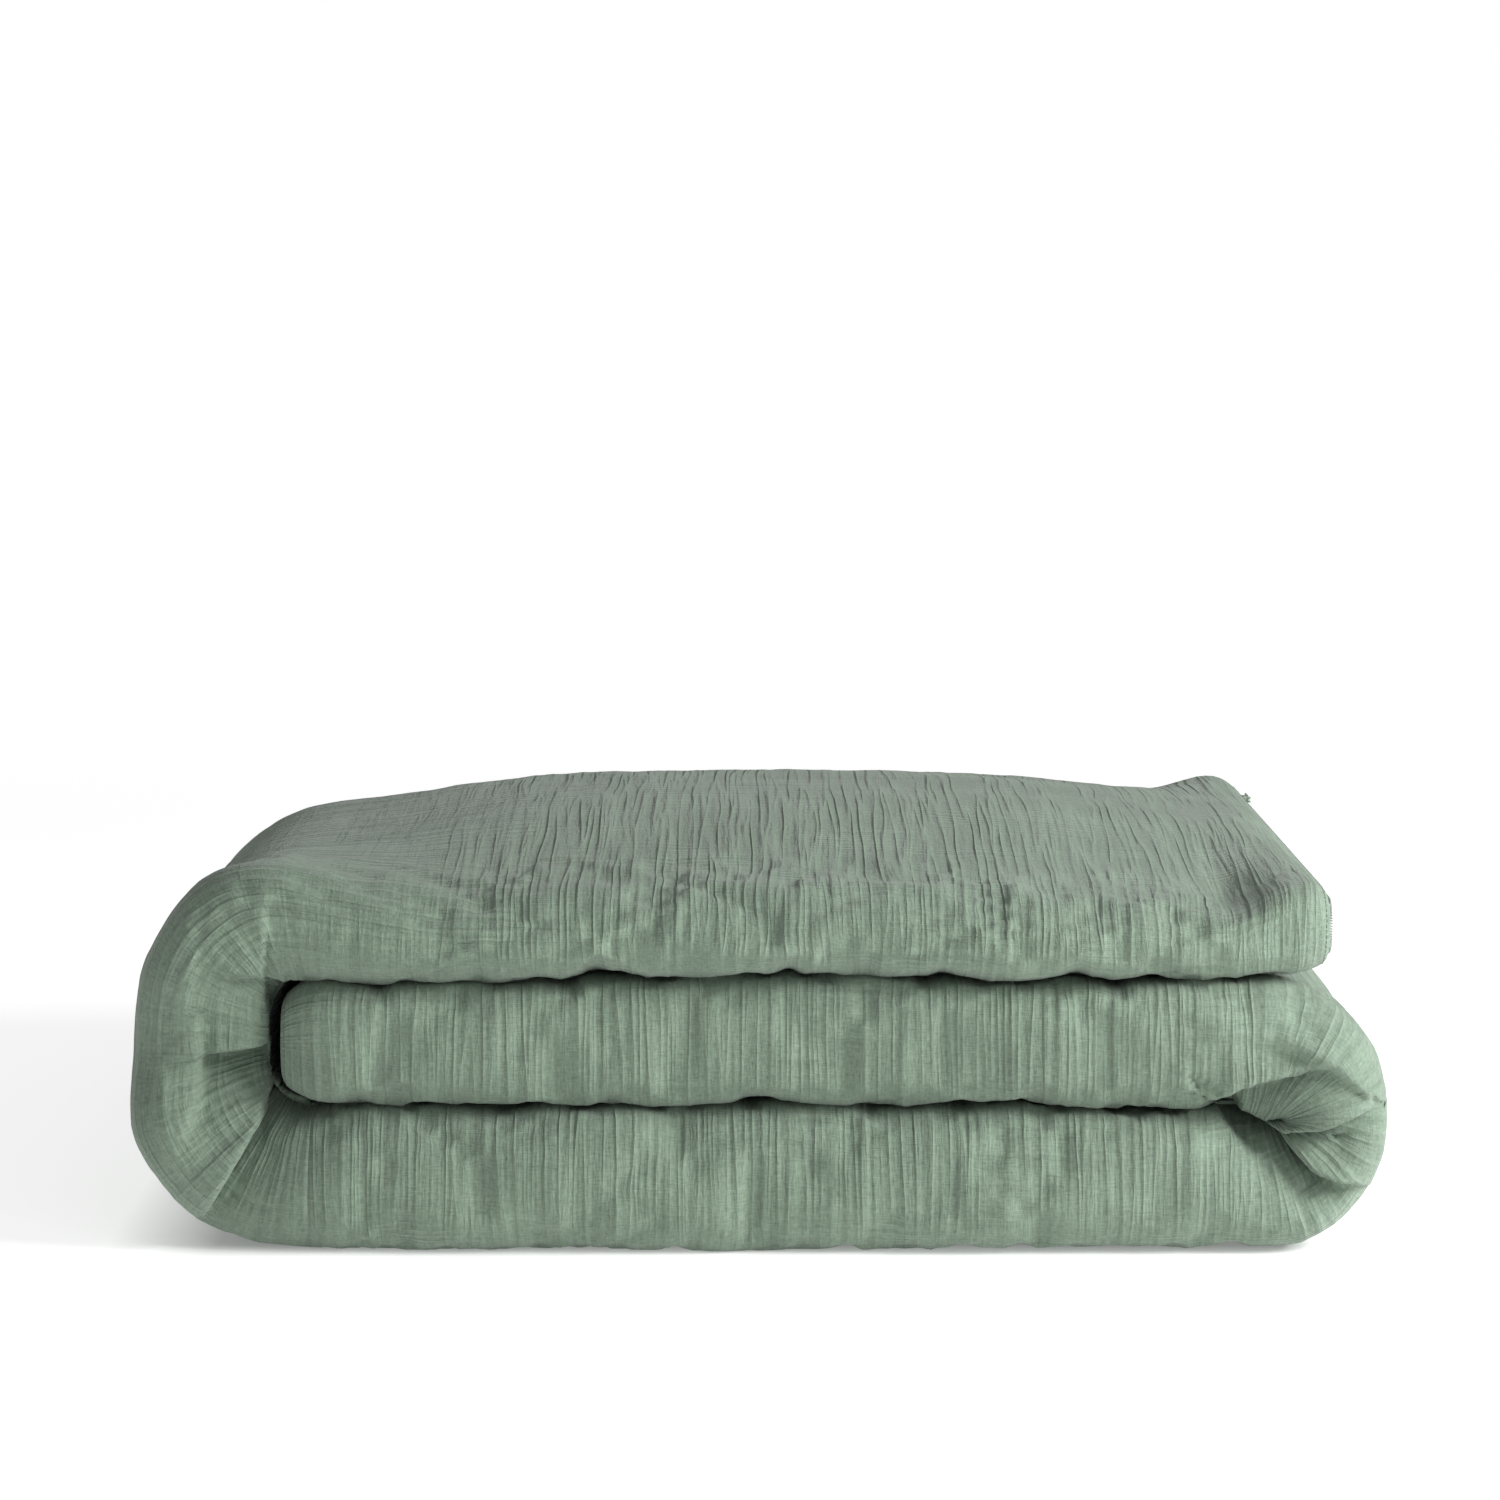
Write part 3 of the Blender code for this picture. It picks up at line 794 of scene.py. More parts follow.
class Value:
    """A shader value that Python's operators act on."""

    def __init__(self, graph: "Graph", socket: bpy.types.NodeSocket) -> None:
        """Keep the graph and the socket."""
        self.graph = graph
        self.socket = socket

    def _math(self, operation: str, *terms: Any) -> "Value":
        """Add a Math node."""
        sockets = dict(enumerate(terms))
        return self.graph.node("ShaderNodeMath", {"operation": operation}, sockets)[0]

    def __add__(self, other: Any) -> "Value":
        """The sum."""
        return self._math("ADD", self, other)

    __radd__ = __add__

    def __sub__(self, other: Any) -> "Value":
        """The difference."""
        return self._math("SUBTRACT", self, other)

    def __rsub__(self, other: Any) -> "Value":
        """The difference, from the other side."""
        return self._math("SUBTRACT", other, self)

    def __mul__(self, other: Any) -> "Value":
        """The product."""
        return self._math("MULTIPLY", self, other)

    __rmul__ = __mul__

    def __truediv__(self, other: Any) -> "Value":
        """The quotient."""
        return self._math("DIVIDE", self, other)

    def __pow__(self, other: Any) -> "Value":
        """The power."""
        return self._math("POWER", self, other)

    def __abs__(self) -> "Value":
        """The size without its sign."""
        return self._math("ABSOLUTE", self)

    def clamp(self) -> "Value":
        """The value kept from 0 to 1."""
        return self._math("MAXIMUM", self._math("MINIMUM", self, 1.0), 0.0)

    def wave(self) -> "Value":
        """The sine."""
        return self._math("SINE", self)


class Graph:
    """A material's node tree, built from plain calls."""

    def __init__(self, name: str) -> None:
        """Make the material and its shader."""
        self.material = bpy.data.materials.new(name)
        self.material.use_nodes = True
        self.tree = self.material.node_tree
        self.shader = self.tree.nodes["Principled BSDF"]

    def node(self, kind: str, settings: dict[str, Any], sockets: dict[Any, Any]) -> list[Value]:
        """Add a node.

        Args:
            kind: The node's type.
            settings: Its own settings, set first.
            sockets: Values or links of its inputs, by name or number.

        Returns:
            Its enabled outputs.
        """
        node = self.tree.nodes.new(kind)
        for setting, value in settings.items():
            setattr(node, setting, value)
        for key, value in sockets.items():
            self.feed(node.inputs[key], value)
        return [Value(self, output) for output in node.outputs if output.enabled]

    def feed(self, socket: bpy.types.NodeSocket, value: Any) -> None:
        """Link a value to a socket, or set a plain one on it."""
        if isinstance(value, Value):
            self.tree.links.new(value.socket, socket)
        else:
            socket.default_value = value

    def mix(self, factor: Any, first: Any, second: Any) -> Value:
        """A blend of two colours."""
        sockets = {0: factor, 6: first, 7: second}
        return self.node("ShaderNodeMix", {"data_type": "RGBA"}, sockets)[0]

    def noise(self, x: Any, y: Any, detail: float = 2.0, z: float = 0.0) -> Value:
        """Noise from 0 to 1 at two coordinates."""
        vector = self.node("ShaderNodeCombineXYZ", {}, {0: x, 1: y, 2: z})[0]
        sockets = {"Vector": vector, "Scale": 1.0, "Detail": detail, "Roughness": 0.55}
        return self.node("ShaderNodeTexNoise", {}, sockets)[0]

    def cloth(self) -> tuple[Value, Value]:
        """The cloth's own coordinates in metres, along and across."""
        uv = self.node("ShaderNodeUVMap", {"uv_map": "cloth"}, {})[0]
        u, v, _ = self.node("ShaderNodeSeparateXYZ", {}, {0: uv})
        return u, v

    def place(self) -> tuple[Value, Value, Value]:
        """Object coordinates in metres."""
        point = self.node("ShaderNodeTexCoord", {}, {})[3]
        x, y, z = self.node("ShaderNodeSeparateXYZ", {}, {0: point})
        return x, y, z

    def attribute(self, name: str) -> Value:
        """A number kept on the piece's points."""
        outputs = self.node("ShaderNodeAttribute", {"attribute_name": name}, {})
        return outputs[2]

    def bump(self, height: Value) -> None:
        """Raise the surface by a height in metres."""
        sockets = {"Height": height, "Strength": 1.0, "Distance": 1.0}
        self.feed(self.shader.inputs["Normal"], self.node("ShaderNodeBump", {}, sockets)[0])

    def set(self, **sockets: Any) -> None:
        """Set the shader's sockets, with underscores for spaces in their names."""
        for name, value in sockets.items():
            self.feed(self.shader.inputs[name.replace("_", " ")], value)


def rgba(colour: Colour, shade: float = 1.0) -> tuple[float, float, float, float]:
    """A colour as a socket takes it, made lighter or darker."""
    return (colour[0] * shade, colour[1] * shade, colour[2] * shade, 1.0)


class Finish:
    """A look that dresses a material of its own."""

    def material(self, name: str) -> bpy.types.Material:
        """Build the finish.

        Args:
            name: Name of the material.

        Returns:
            The material.
        """
        graph = Graph(name)
        self.dress(graph)
        return graph.material

    def dress(self, graph: Graph) -> None:
        """Set up the node tree, each finish in its own way."""
        raise NotImplementedError


@dataclass(frozen=True)
class GauzeCloth(Finish):
    """Crinkled double gauze, washed and unironed."""

    colour: Colour = (0.177, 0.243, 0.180)
    crinkle: float = 0.0085
    crinkle_length: float = 0.26
    rise: float = 0.0009
    thread: float = 0.0011

    @staticmethod
    def _lines(noise: Value) -> Value:
        """Thin crinkle lines from 0 to 1 where the noise crosses its middle."""
        return (1 - abs(noise - 0.5) * 7).clamp() ** 1.5

    def dress(self, graph: Graph) -> None:
        """Crinkles, streaks and weave; the crinkle lines are painted lighter on their crests and painted
        shade in their dips.
        """
        u, v = graph.cloth()
        along = graph.attribute("along_s")
        drift = graph.noise(u / 0.06, v / 0.16, 1.0, 7.0) - 0.5
        straight = u + drift * 0.007
        sway = v + (graph.noise(u / 0.06, v / 0.05, 1.0, 3.0) - 0.5) * 0.008
        length = self.crinkle_length
        round_fold = self._lines(graph.noise(straight / self.crinkle, v / length, 1.0))
        down_duvet = self._lines(graph.noise(u / length, sway / self.crinkle, 1.0, 5.0))
        streaks = graph.noise(straight / 0.0038, v / 0.05, 2.0, 9.0) - 0.5
        cross_streaks = graph.noise(u / 0.05, sway / 0.0038, 2.0, 19.0) - 0.5
        patch = ((graph.noise(u / 0.06, v / 0.05, 1.0, 11.0) - 0.46) * 5).clamp()
        crosswise = (along * 0.9 + patch * 0.6).clamp()
        lines = round_fold * (1 - along * 0.8) + down_duvet * crosswise
        fine = streaks * (1 - along * 0.6) + cross_streaks * (crosswise * 0.8 + 0.2)
        warp = graph.noise(u / self.thread, v / (self.thread * 5), 1.0, 13.0) - 0.5
        weft = graph.noise(u / (self.thread * 5), v / self.thread, 1.0, 15.0) - 0.5
        weave = warp + weft
        graph.bump(lines * self.rise + fine * (self.rise * 1.2) + weave * (self.thread * 0.30))
        mottle = graph.noise(u / 0.09, v / 0.07, 2.0, 17.0)
        # The crinkle lines lift this tone: a painted highlight on their crests and painted shade in their
        # dips. Streaks, weave and mottle are the cloth's own tone.
        tone = (lines * 0.26 + fine * 0.36 + weave * 0.75 + mottle * 0.45 + 0.10).clamp()
        dark = rgba(self.colour, 0.60)
        light = rgba((self.colour[0] * 1.03, self.colour[1], self.colour[2] * 1.02), 1.34)
        graph.set(Base_Color=graph.mix(tone, dark, light), Roughness=(0.86 + weave * 0.10).clamp())
        graph.set(Specular_IOR_Level=0.25, Sheen_Weight=0.18, Sheen_Roughness=0.55)


@dataclass(frozen=True)
class PlainWeave(Finish):
    """A plain woven cloth, for ticking, tapes, ties and labels."""

    colour: Colour
    thread: float = 0.0006
    rise: float = 0.00008
    roughness: float = 0.85

    def dress(self, graph: Graph) -> None:
        """Threads that cross, with uneven slubs."""
        x, y, z = graph.place()
        scale = 2 * math.pi / self.thread
        weave = (x * scale).wave() * (y * scale).wave() + (z * scale).wave() * 0.5
        slub = graph.noise(x / 0.004, y / 0.003, 2.0) - 0.5
        graph.bump((weave + slub) * self.rise)
        tone = (weave * 0.18 + slub * 0.6 + 0.5).clamp()
        graph.set(Base_Color=graph.mix(tone, rgba(self.colour, 0.85), rgba(self.colour, 1.1)))
        graph.set(Roughness=(slub * 0.15 + self.roughness).clamp(), Sheen_Weight=0.15)


@dataclass(frozen=True)
class Fibrefill(Finish):
    """Loose white polyester filling."""

    colour: Colour = (0.84, 0.84, 0.82)

    def dress(self, graph: Graph) -> None:
        """Soft lumps of fibre."""
        x, y, z = graph.place()
        fluff = graph.noise(x / 0.006 + z / 0.004, y / 0.006, 4.0)
        graph.bump(fluff * 0.002)
        graph.set(Base_Color=graph.mix(fluff, rgba(self.colour, 0.85), rgba(self.colour, 1.08)))
        graph.set(Roughness=(fluff * 0.1 + 0.88).clamp(), Sheen_Weight=0.2)


@dataclass(frozen=True)
class Nylon(Finish):
    """Dyed nylon of the zip's coil."""

    colour: Colour = (0.16, 0.21, 0.165)

    def dress(self, graph: Graph) -> None:
        """A fine grain on smooth wire."""
        x, y, z = graph.place()
        grain = graph.noise(y / 0.0008, (x + z) / 0.0005, 2.0)
        graph.bump(grain * 0.00003)
        graph.set(Base_Color=graph.mix(grain, rgba(self.colour, 0.8), rgba(self.colour, 1.2)))
        graph.set(Roughness=grain * 0.2 + 0.32)


@dataclass(frozen=True)
class PaintedMetal(Finish):
    """Cast zinc under sage paint, rubbed bare in specks."""

    colour: Colour = (0.24, 0.30, 0.24)
    bare: Colour = (0.55, 0.55, 0.53)

    def dress(self, graph: Graph) -> None:
        """Paint with bare specks."""
        x, y, z = graph.place()
        speck = graph.noise((x + z) / 0.0009, y / 0.0009, 3.0)
        rubbed = ((speck - 0.60) * 5).clamp() * 0.6
        graph.bump(speck * 0.00003)
        graph.set(Base_Color=graph.mix(rubbed, rgba(self.colour), rgba(self.bare)))
        graph.set(Roughness=speck * 0.2 + 0.30, Metallic=(rubbed * 0.8 + 0.15).clamp())


class Cover:
    """The gauze cover: the visible cloth of the duvet, in two lengths."""

    FRAMES = 16
    OPEN = 0.6
    CLOTH = {
        "quality": 5,
        "mass": 0.25,
        "tension_stiffness": 12,
        "compression_stiffness": 12,
        "shear_stiffness": 6,
        "bending_stiffness": 0.35,
        "use_pressure": True,
        "uniform_pressure_force": 0.5,
        "shrink_min": -0.030,
        "vertex_group_mass": "held",
    }
    CAP = 0.009
    HOLD = 0.22
    CALM_TOP = 0.85
    EASE = 0.60

    def __init__(self, form: DuvetForm, finish: GauzeCloth) -> None:
        """Keep the form and the finish."""
        self.form = form
        self.finish = finish
        self.panel = Panel(form, FINE)

    def build(self) -> list[bpy.types.Object]:
        """Crease the panel and build both lengths.

        Returns:
            The lower and the upper length.
        """
        panel, form = self.panel, self.form
        seen = form.seen(panel.s, panel.section)
        panel.points = panel.points + self._simulated(seen)
        creases = form.creases(panel.s, panel.section) * panel.soft_edges() * seen - 0.0009 * (1 - seen)
        panel.points = panel.points + panel.normals() * creases[..., None]
        panel.points[..., 2] = np.maximum(panel.points[..., 2], 0.0003)
        material = self.finish.material("crinkled_gauze")
        pieces = []
        for half in Half:
            piece = panel.mesh(f"cover_{half.value}", half)
            self._keep_directions(piece, half)
            piece.data.materials.append(material)
            pieces.append(piece)
        return pieces

    def _keep_directions(self, piece: bpy.types.Object, half: Half) -> None:
        """Store how far the creases run along the duvet on each point, for the finish."""
        along = self.form.along_s(self.panel.s, self.panel.section)
        uv_s = np.empty(len(piece.data.loops) * 2, np.float32)
        piece.data.uv_layers["cloth"].data.foreach_get("uv", uv_s)
        corners = np.empty(len(piece.data.loops), int)
        piece.data.loops.foreach_get("vertex_index", corners)
        place = np.zeros((len(piece.data.vertices), 2))
        place[corners] = uv_s.reshape(-1, 2)
        rows = np.interp(place[:, 0], self.panel.rows.s, np.arange(len(self.panel.rows.s)))
        columns = np.interp(place[:, 1], self.panel.section.q, np.arange(len(self.panel.section.q)))
        values = along[rows.round().astype(int), columns.round().astype(int)]
        attribute = piece.data.attributes.new("along_s", "FLOAT", "POINT")
        attribute.data.foreach_set("value", values.astype(np.float32))

    def _simulated(self, seen: Array) -> Array:
        """Puff the filled cloth out against its seams on a coarser mesh.

        Args:
            seen: How open to view each point of the fine mesh is.

        Returns:
            Shifts for the fine mesh.
        """
        coarse = Panel(self.form, COARSE)
        rows, columns = coarse.points.shape[:2]
        index = np.arange(rows * columns).reshape(rows, columns)
        quads = np.stack([index[:-1, :-1], index[:-1, 1:], index[1:, 1:], index[1:, :-1]], -1).reshape(-1, 4)
        mesh = bpy.data.meshes.new("cloth_trial")
        mesh.from_pydata(coarse.points.reshape(-1, 3).tolist(), [], quads.tolist())
        trial = add_object("cloth_trial", mesh)
        free = (self.form.seen(coarse.s, coarse.section) * coarse.soft_edges()).ravel()
        held = trial.vertex_groups.new(name="held")
        for vertex, openness in enumerate(free):
            held.add([vertex], 1.0 if openness < self.OPEN else self.HOLD, "REPLACE")
        modifier = trial.modifiers.new("cloth", "CLOTH")
        settings = modifier.settings
        for setting, value in self.CLOTH.items():
            setattr(settings, setting, value)
        settings.effector_weights.gravity = 0.0
        modifier.collision_settings.use_collision = False
        modifier.collision_settings.use_self_collision = False
        scene = bpy.context.scene
        modifier.point_cache.frame_start = 1
        modifier.point_cache.frame_end = self.FRAMES
        for step in range(1, self.FRAMES + 1):
            scene.frame_set(step)
        evaluated = trial.evaluated_get(bpy.context.evaluated_depsgraph_get())
        moved = np.empty(rows * columns * 3)
        evaluated.data.vertices.foreach_get("co", moved)
        shift = moved.reshape(rows, columns, 3) - coarse.points
        size = np.linalg.norm(shift, axis=-1, keepdims=True)
        shift = shift * np.minimum(1, self.CAP / np.maximum(size, 1e-9))
        log.info("cloth trial: mean shift %.1f mm, largest %.1f mm", size.mean() * 1000, size.max() * 1000)
        bpy.data.objects.remove(trial)
        scene.frame_set(1)
        section = self.panel.section
        row_at = np.interp(self.panel.rows.s, coarse.rows.s, np.arange(rows))
        share = coarse.section.q / coarse.section.q[-1]
        column_at = np.interp(section.q / section.q[-1], share, np.arange(columns))
        calm = 1 - self.CALM_TOP * smooth(0.02, 0.10, section.q[section.round][0] - section.q)
        return resample(shift, row_at, column_at) * seen[..., None] * (calm * self.EASE)[None, :, None]


def resample(grid: Array, rows: Array, columns: Array) -> Array:
    """Read a grid between its points, smoothly in both directions."""
    low_row = np.minimum(rows.astype(int), grid.shape[0] - 2)
    low_column = np.minimum(columns.astype(int), grid.shape[1] - 2)
    row_part = smooth(0, 1, rows - low_row)[:, None, None]
    column_part = smooth(0, 1, columns - low_column)[None, :, None]
    near = grid[low_row] * (1 - row_part) + grid[low_row + 1] * row_part
    return near[:, low_column] * (1 - column_part) + near[:, low_column + 1] * column_part


class Insert:
    """The duvet inside the cover: its ticking and its filling."""

    SHORTER = 0.03

    def __init__(self, form: DuvetForm) -> None:
        """Keep the form."""
        self.form = form

    def build(self) -> dict[str, list[bpy.types.Object]]:
        """Build ticking and filling in two lengths each.

        Returns:
            The lengths of each, by name.
        """
        looks = {
            "ticking": (0.012, PlainWeave((0.82, 0.82, 0.80)).material("ticking_weave")),
            "filling": (0.015, Fibrefill().material("fibrefill")),
        }
        pieces: dict[str, list[bpy.types.Object]] = {}
        for name, (inset, material) in looks.items():
            panel = Panel(self.form, INSERT, inset, self.SHORTER)
            pieces[name] = [panel.mesh(f"{name}_{half.value}", half) for half in Half]
            for piece in pieces[name]:
                piece.data.materials.append(material)
        return pieces


class RepeatAlong:
    """Geometry nodes that set one small shape at even steps along a path."""

    def __init__(self, name: str) -> None:
        """Build the tree with its named inputs."""
        self.tree = bpy.data.node_groups.new(name, "GeometryNodeTree")
        self.identifiers: dict[str, str] = {}
        for label, kind in (
            ("Path", "NodeSocketGeometry"),
            ("Shape", "NodeSocketObject"),
            ("Step", "NodeSocketFloat"),
            ("Outward", "NodeSocketVector"),
            ("Unevenness", "NodeSocketFloat"),
            ("Finish", "NodeSocketMaterial"),
        ):
            socket = self.tree.interface.new_socket(label, in_out="INPUT", socket_type=kind)
            self.identifiers[label] = socket.identifier
        self.tree.interface.new_socket("Pieces", in_out="OUTPUT", socket_type="NodeSocketGeometry")
        source = self._node("NodeGroupInput")
        step = self._node("GeometryNodeResampleCurve", mode="LENGTH")
        self._link(source, "Path", step, "Curve")
        self._link(source, "Step", step, "Length")
        tangent = self._node("GeometryNodeInputTangent")
        forward = self._node("FunctionNodeAlignRotationToVector", axis="X")
        self.tree.links.new(tangent.outputs[0], forward.inputs["Vector"])
        upward = self._node("FunctionNodeAlignRotationToVector", axis="Z", pivot_axis="X")
        self.tree.links.new(forward.outputs[0], upward.inputs["Rotation"])
        self._link(source, "Outward", upward, "Vector")
        shape = self._node("GeometryNodeObjectInfo")
        self._link(source, "Shape", shape, "Object")
        uneven = self._node("FunctionNodeRandomValue", data_type="FLOAT")
        uneven.inputs["Seed"].default_value = 5
        less = self._node("ShaderNodeMath", operation="SUBTRACT")
        less.inputs[0].default_value = 1.0
        self._link(source, "Unevenness", less, 1)
        self.tree.links.new(less.outputs[0], uneven.inputs[2])
        uneven.inputs[3].default_value = 1.0
        setter = self._node("GeometryNodeInstanceOnPoints")
        self.tree.links.new(step.outputs[0], setter.inputs["Points"])
        self.tree.links.new(shape.outputs["Geometry"], setter.inputs["Instance"])
        self.tree.links.new(upward.outputs[0], setter.inputs["Rotation"])
        self.tree.links.new(uneven.outputs[1], setter.inputs["Scale"])
        real = self._node("GeometryNodeRealizeInstances")
        self.tree.links.new(setter.outputs[0], real.inputs[0])
        finish = self._node("GeometryNodeSetMaterial")
        self.tree.links.new(real.outputs[0], finish.inputs["Geometry"])
        self._link(source, "Finish", finish, "Material")
        sink = self._node("NodeGroupOutput")
        self.tree.links.new(finish.outputs[0], sink.inputs[0])

    def _node(self, kind: str, **settings: Any) -> bpy.types.Node:
        """Add a node to the tree, with its own settings."""
        node = self.tree.nodes.new(kind)
        for setting, value in settings.items():
            setattr(node, setting, value)
        return node

    def _link(self, source: bpy.types.Node, output: str, node: bpy.types.Node, key: Any) -> None:
        """Link a named input of the tree to a node."""
        self.tree.links.new(source.outputs[output], node.inputs[key])

    def run(self, name: str, paths: Sequence[Array], **inputs: Any) -> bpy.types.Object:
        """Set the shape along some paths and keep the result as a plain mesh.

        Args:
            name: Name of the object.
            paths: Points of each path.
            inputs: Values of the tree's inputs, by name.

        Returns:
            The object.
        """
        curve = bpy.data.curves.new(name, "CURVE")
        curve.dimensions = "3D"
        for path in paths:
            spline = curve.splines.new("POLY")
            spline.points.add(len(path) - 1)
            spline.points.foreach_set("co", np.column_stack([path, np.ones(len(path))]).ravel())
        host = add_object(name + "_path", curve)
        modifier = host.modifiers.new(name, "NODES")
        modifier.node_group = self.tree
        for label, value in inputs.items():
            modifier[self.identifiers[label]] = value
        evaluated = host.evaluated_get(bpy.context.evaluated_depsgraph_get())
        mesh = bpy.data.meshes.new_from_object(evaluated)
        mesh.name = name
        bpy.data.objects.remove(host)
        return add_object(name, mesh)


def ring_shape(name: str, half: Vector, wire: float, around: int, sides: int) -> bpy.types.Object:
    """A closed flattened ring of wire that stands across its path, for one turn of a coil."""
    vertices, faces = [], []
    for turn in range(around):
        angle = math.tau * turn / around
        centre = Vector((half.x * math.sin(angle), half.y * math.cos(angle), half.z * math.sin(angle)))
        out = Vector((0, math.cos(angle), math.sin(angle)))
        for side in range(sides):
            tilt = math.tau * side / sides
            vertices.append(centre + out * wire * math.cos(tilt) + Vector((wire * math.sin(tilt), 0, 0)))
            following = (side + 1) % sides
            start, nxt = turn * sides, ((turn + 1) % around) * sides
            faces.append((start + side, start + following, nxt + following, nxt + side))
    mesh = bpy.data.meshes.new(name)
    mesh.from_pydata(vertices, [], faces)
    mesh.polygons.foreach_set("use_smooth", np.ones(len(faces), bool))
    mesh.update()
    return bpy.data.objects.new(name, mesh)


class Zip:
    """The foot-end zip: a nylon coil between two woven tapes, its stops, slider and pull."""

    TURN_STEP = 0.0017

    def __init__(self, form: DuvetForm, repeat: RepeatAlong) -> None:
        """Keep the form and the node tree that sets the turns."""
        self.form = form
        self.sizes = form.sizes
        self.repeat = repeat

    def coil(self) -> bpy.types.Object:
        """The coil: its turns along the foot seam, round the half fold and back."""
        low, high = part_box("zip_coil")
        stop_low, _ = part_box("zip_top_stop")
        sizes = self.sizes
        outer_z = sizes.height - sizes.ply / 2 - sizes.foot_drop * 0.75
        inner_z = sizes.height - sizes.layer + sizes.ply / 2 - sizes.foot_drop * 0.25
        x = (low[0] + high[0]) / 2
        radius = (outer_z - inner_z) / 2
        turns = np.linspace(0, math.pi, 24)
        bend = np.stack(
            [
                np.full(24, x),
                sizes.front_y - radius * np.sin(turns),
                (outer_z + inner_z) / 2 + radius * np.cos(turns),
            ],
            axis=-1,
        )
        straight = np.linspace(stop_low[1] - 0.0015, sizes.front_y, 40)[:-1, None]
        start = np.hstack([np.full_like(straight, x), straight, np.full_like(straight, outer_z)])
        end = np.hstack([np.full_like(straight, x), straight, np.full_like(straight, inner_z)])[::-1]
        path = np.concatenate([start, bend, end])
        half = Vector((self.TURN_STEP * 0.25, (high[0] - low[0]) * 0.26, (high[0] - low[0]) * 0.42))
        turn = ring_shape("coil_turn", half, 0.00036, 8, 4)
        finish = Nylon().material("coil_nylon")
        coil = self.repeat.run(
            "zip_coil_turns",
            [self.form.settle(path)],
            Shape=turn,
            Step=self.TURN_STEP,
            Outward=(1.0, 0.0, 0.0),
            Unevenness=0.0,
            Finish=finish,
        )
        bpy.data.objects.remove(turn)
        return coil

    def dress(self) -> None:
        """Give the zip's own nodes their finishes."""
        metal = PaintedMetal().material("painted_metal")
        for node in ("zip_slider", "zip_pull", "zip_top_stop", "zip_bottom_stop"):
            finish_node(node, metal)


def finish_node(node: str, material: bpy.types.Material) -> None:
    """Give a node of the frame a material."""
    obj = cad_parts[node]
    if not obj.material_slots:
        obj.data.materials.append(material)
    for slot in obj.material_slots:
        slot.material = material


def settled_copy(form: DuvetForm, node: str, material: bpy.types.Material) -> bpy.types.Object:
    """Copy one of the frame's nodes and let it settle with the duvet.

    Args:
        form: The duvet's soft shape.
        node: The node's name.
        material: The copy's finish.

    Returns:
        The copy, which stands for the node.
    """
    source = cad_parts[node]
    mesh = source.data.copy()
    mesh.name = f"{node}_settled"
    mesh.materials.clear()
    mesh.materials.append(material)
    shape = bmesh.new()
    shape.from_mesh(mesh)
    bmesh.ops.remove_doubles(shape, verts=shape.verts[:], dist=1e-6)
    points = form.settle(np.array([tuple(vertex.co) for vertex in shape.verts]))
    for vertex, point in zip(shape.verts, points):
        vertex.co = point
    shape.to_mesh(mesh)
    shape.free()
    piece = add_object(f"{node}_settled", mesh)
    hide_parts(node)
    return piece


class Fittings:
    """The small things inside the cover: its ties, the insert's loops, the label and the tapes."""

    def __init__(self, form: DuvetForm) -> None:
        """Keep the form."""
        self.form = form

    def dress(self) -> None:
        """Settle each fitting with the duvet and give it its finish."""
        tie = PlainWeave((0.22, 0.28, 0.225), thread=0.0005).material("tie_weave")
        loop = PlainWeave((0.80, 0.80, 0.78), thread=0.0005).material("loop_weave")
        label = PlainWeave((0.80, 0.78, 0.72), thread=0.0004, roughness=0.5).material("label_satin")
        tape = PlainWeave((0.17, 0.22, 0.175), thread=0.0009, rise=0.0001).material("zip_tape_weave")
        looks = {"cover_tie": (tie, "tie"), "insert_loop": (loop, "loop"), "care_label": (label, "label")}
        looks["zip_tape"] = (tape, "zip_tape")
        for node in list(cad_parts):
            for start, (material, slot) in looks.items():
                if node.startswith(start):
                    piece = settled_copy(self.form, node, material)
                    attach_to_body(piece, "base" if "_head_" in node else "top_flap")
                    report(piece)


class Sewing:
    """Rows of stitches that show on the cover beside its seams."""

    STEP = 0.0034

    def __init__(self, cover: Cover, repeat: RepeatAlong) -> None:
        """Keep the cover and the node tree that sets the stitches."""
        self.panel = cover.panel
        self.repeat = repeat

    def build(self) -> dict[Half, bpy.types.Object]:
        """Sew both lengths of the cover.

        Returns:
            The stitches of each length.
        """
        thread = PlainWeave((0.24, 0.31, 0.245), thread=0.0003).material("sewing_thread")
        shape = ring_shape("stitch", Vector((self.STEP * 0.36, 0.0002, 0.0)), 0.00030, 6, 4)
        points = self.panel.points + self.panel.normals() * 0.0001
        split, last = self.panel.rows.split, points.shape[1] - 1
        rows = {Half.LOWER: slice(3, split), Half.UPPER: slice(split, points.shape[0] - 3)}
        end = {Half.LOWER: 3, Half.UPPER: points.shape[0] - 4}
        pieces = {}
        for half in Half:
            paths = [points[rows[half], 3], points[rows[half], last - 3], points[end[half], 3 : last - 2]]
            pieces[half] = self.repeat.run(
                f"stitches_{half.value}",
                paths,
                Shape=shape,
                Step=self.STEP,
                Outward=(0.0, 0.0, 1.0),
                Unevenness=0.12,
                Finish=thread,
            )
        bpy.data.objects.remove(shape)
        return pieces


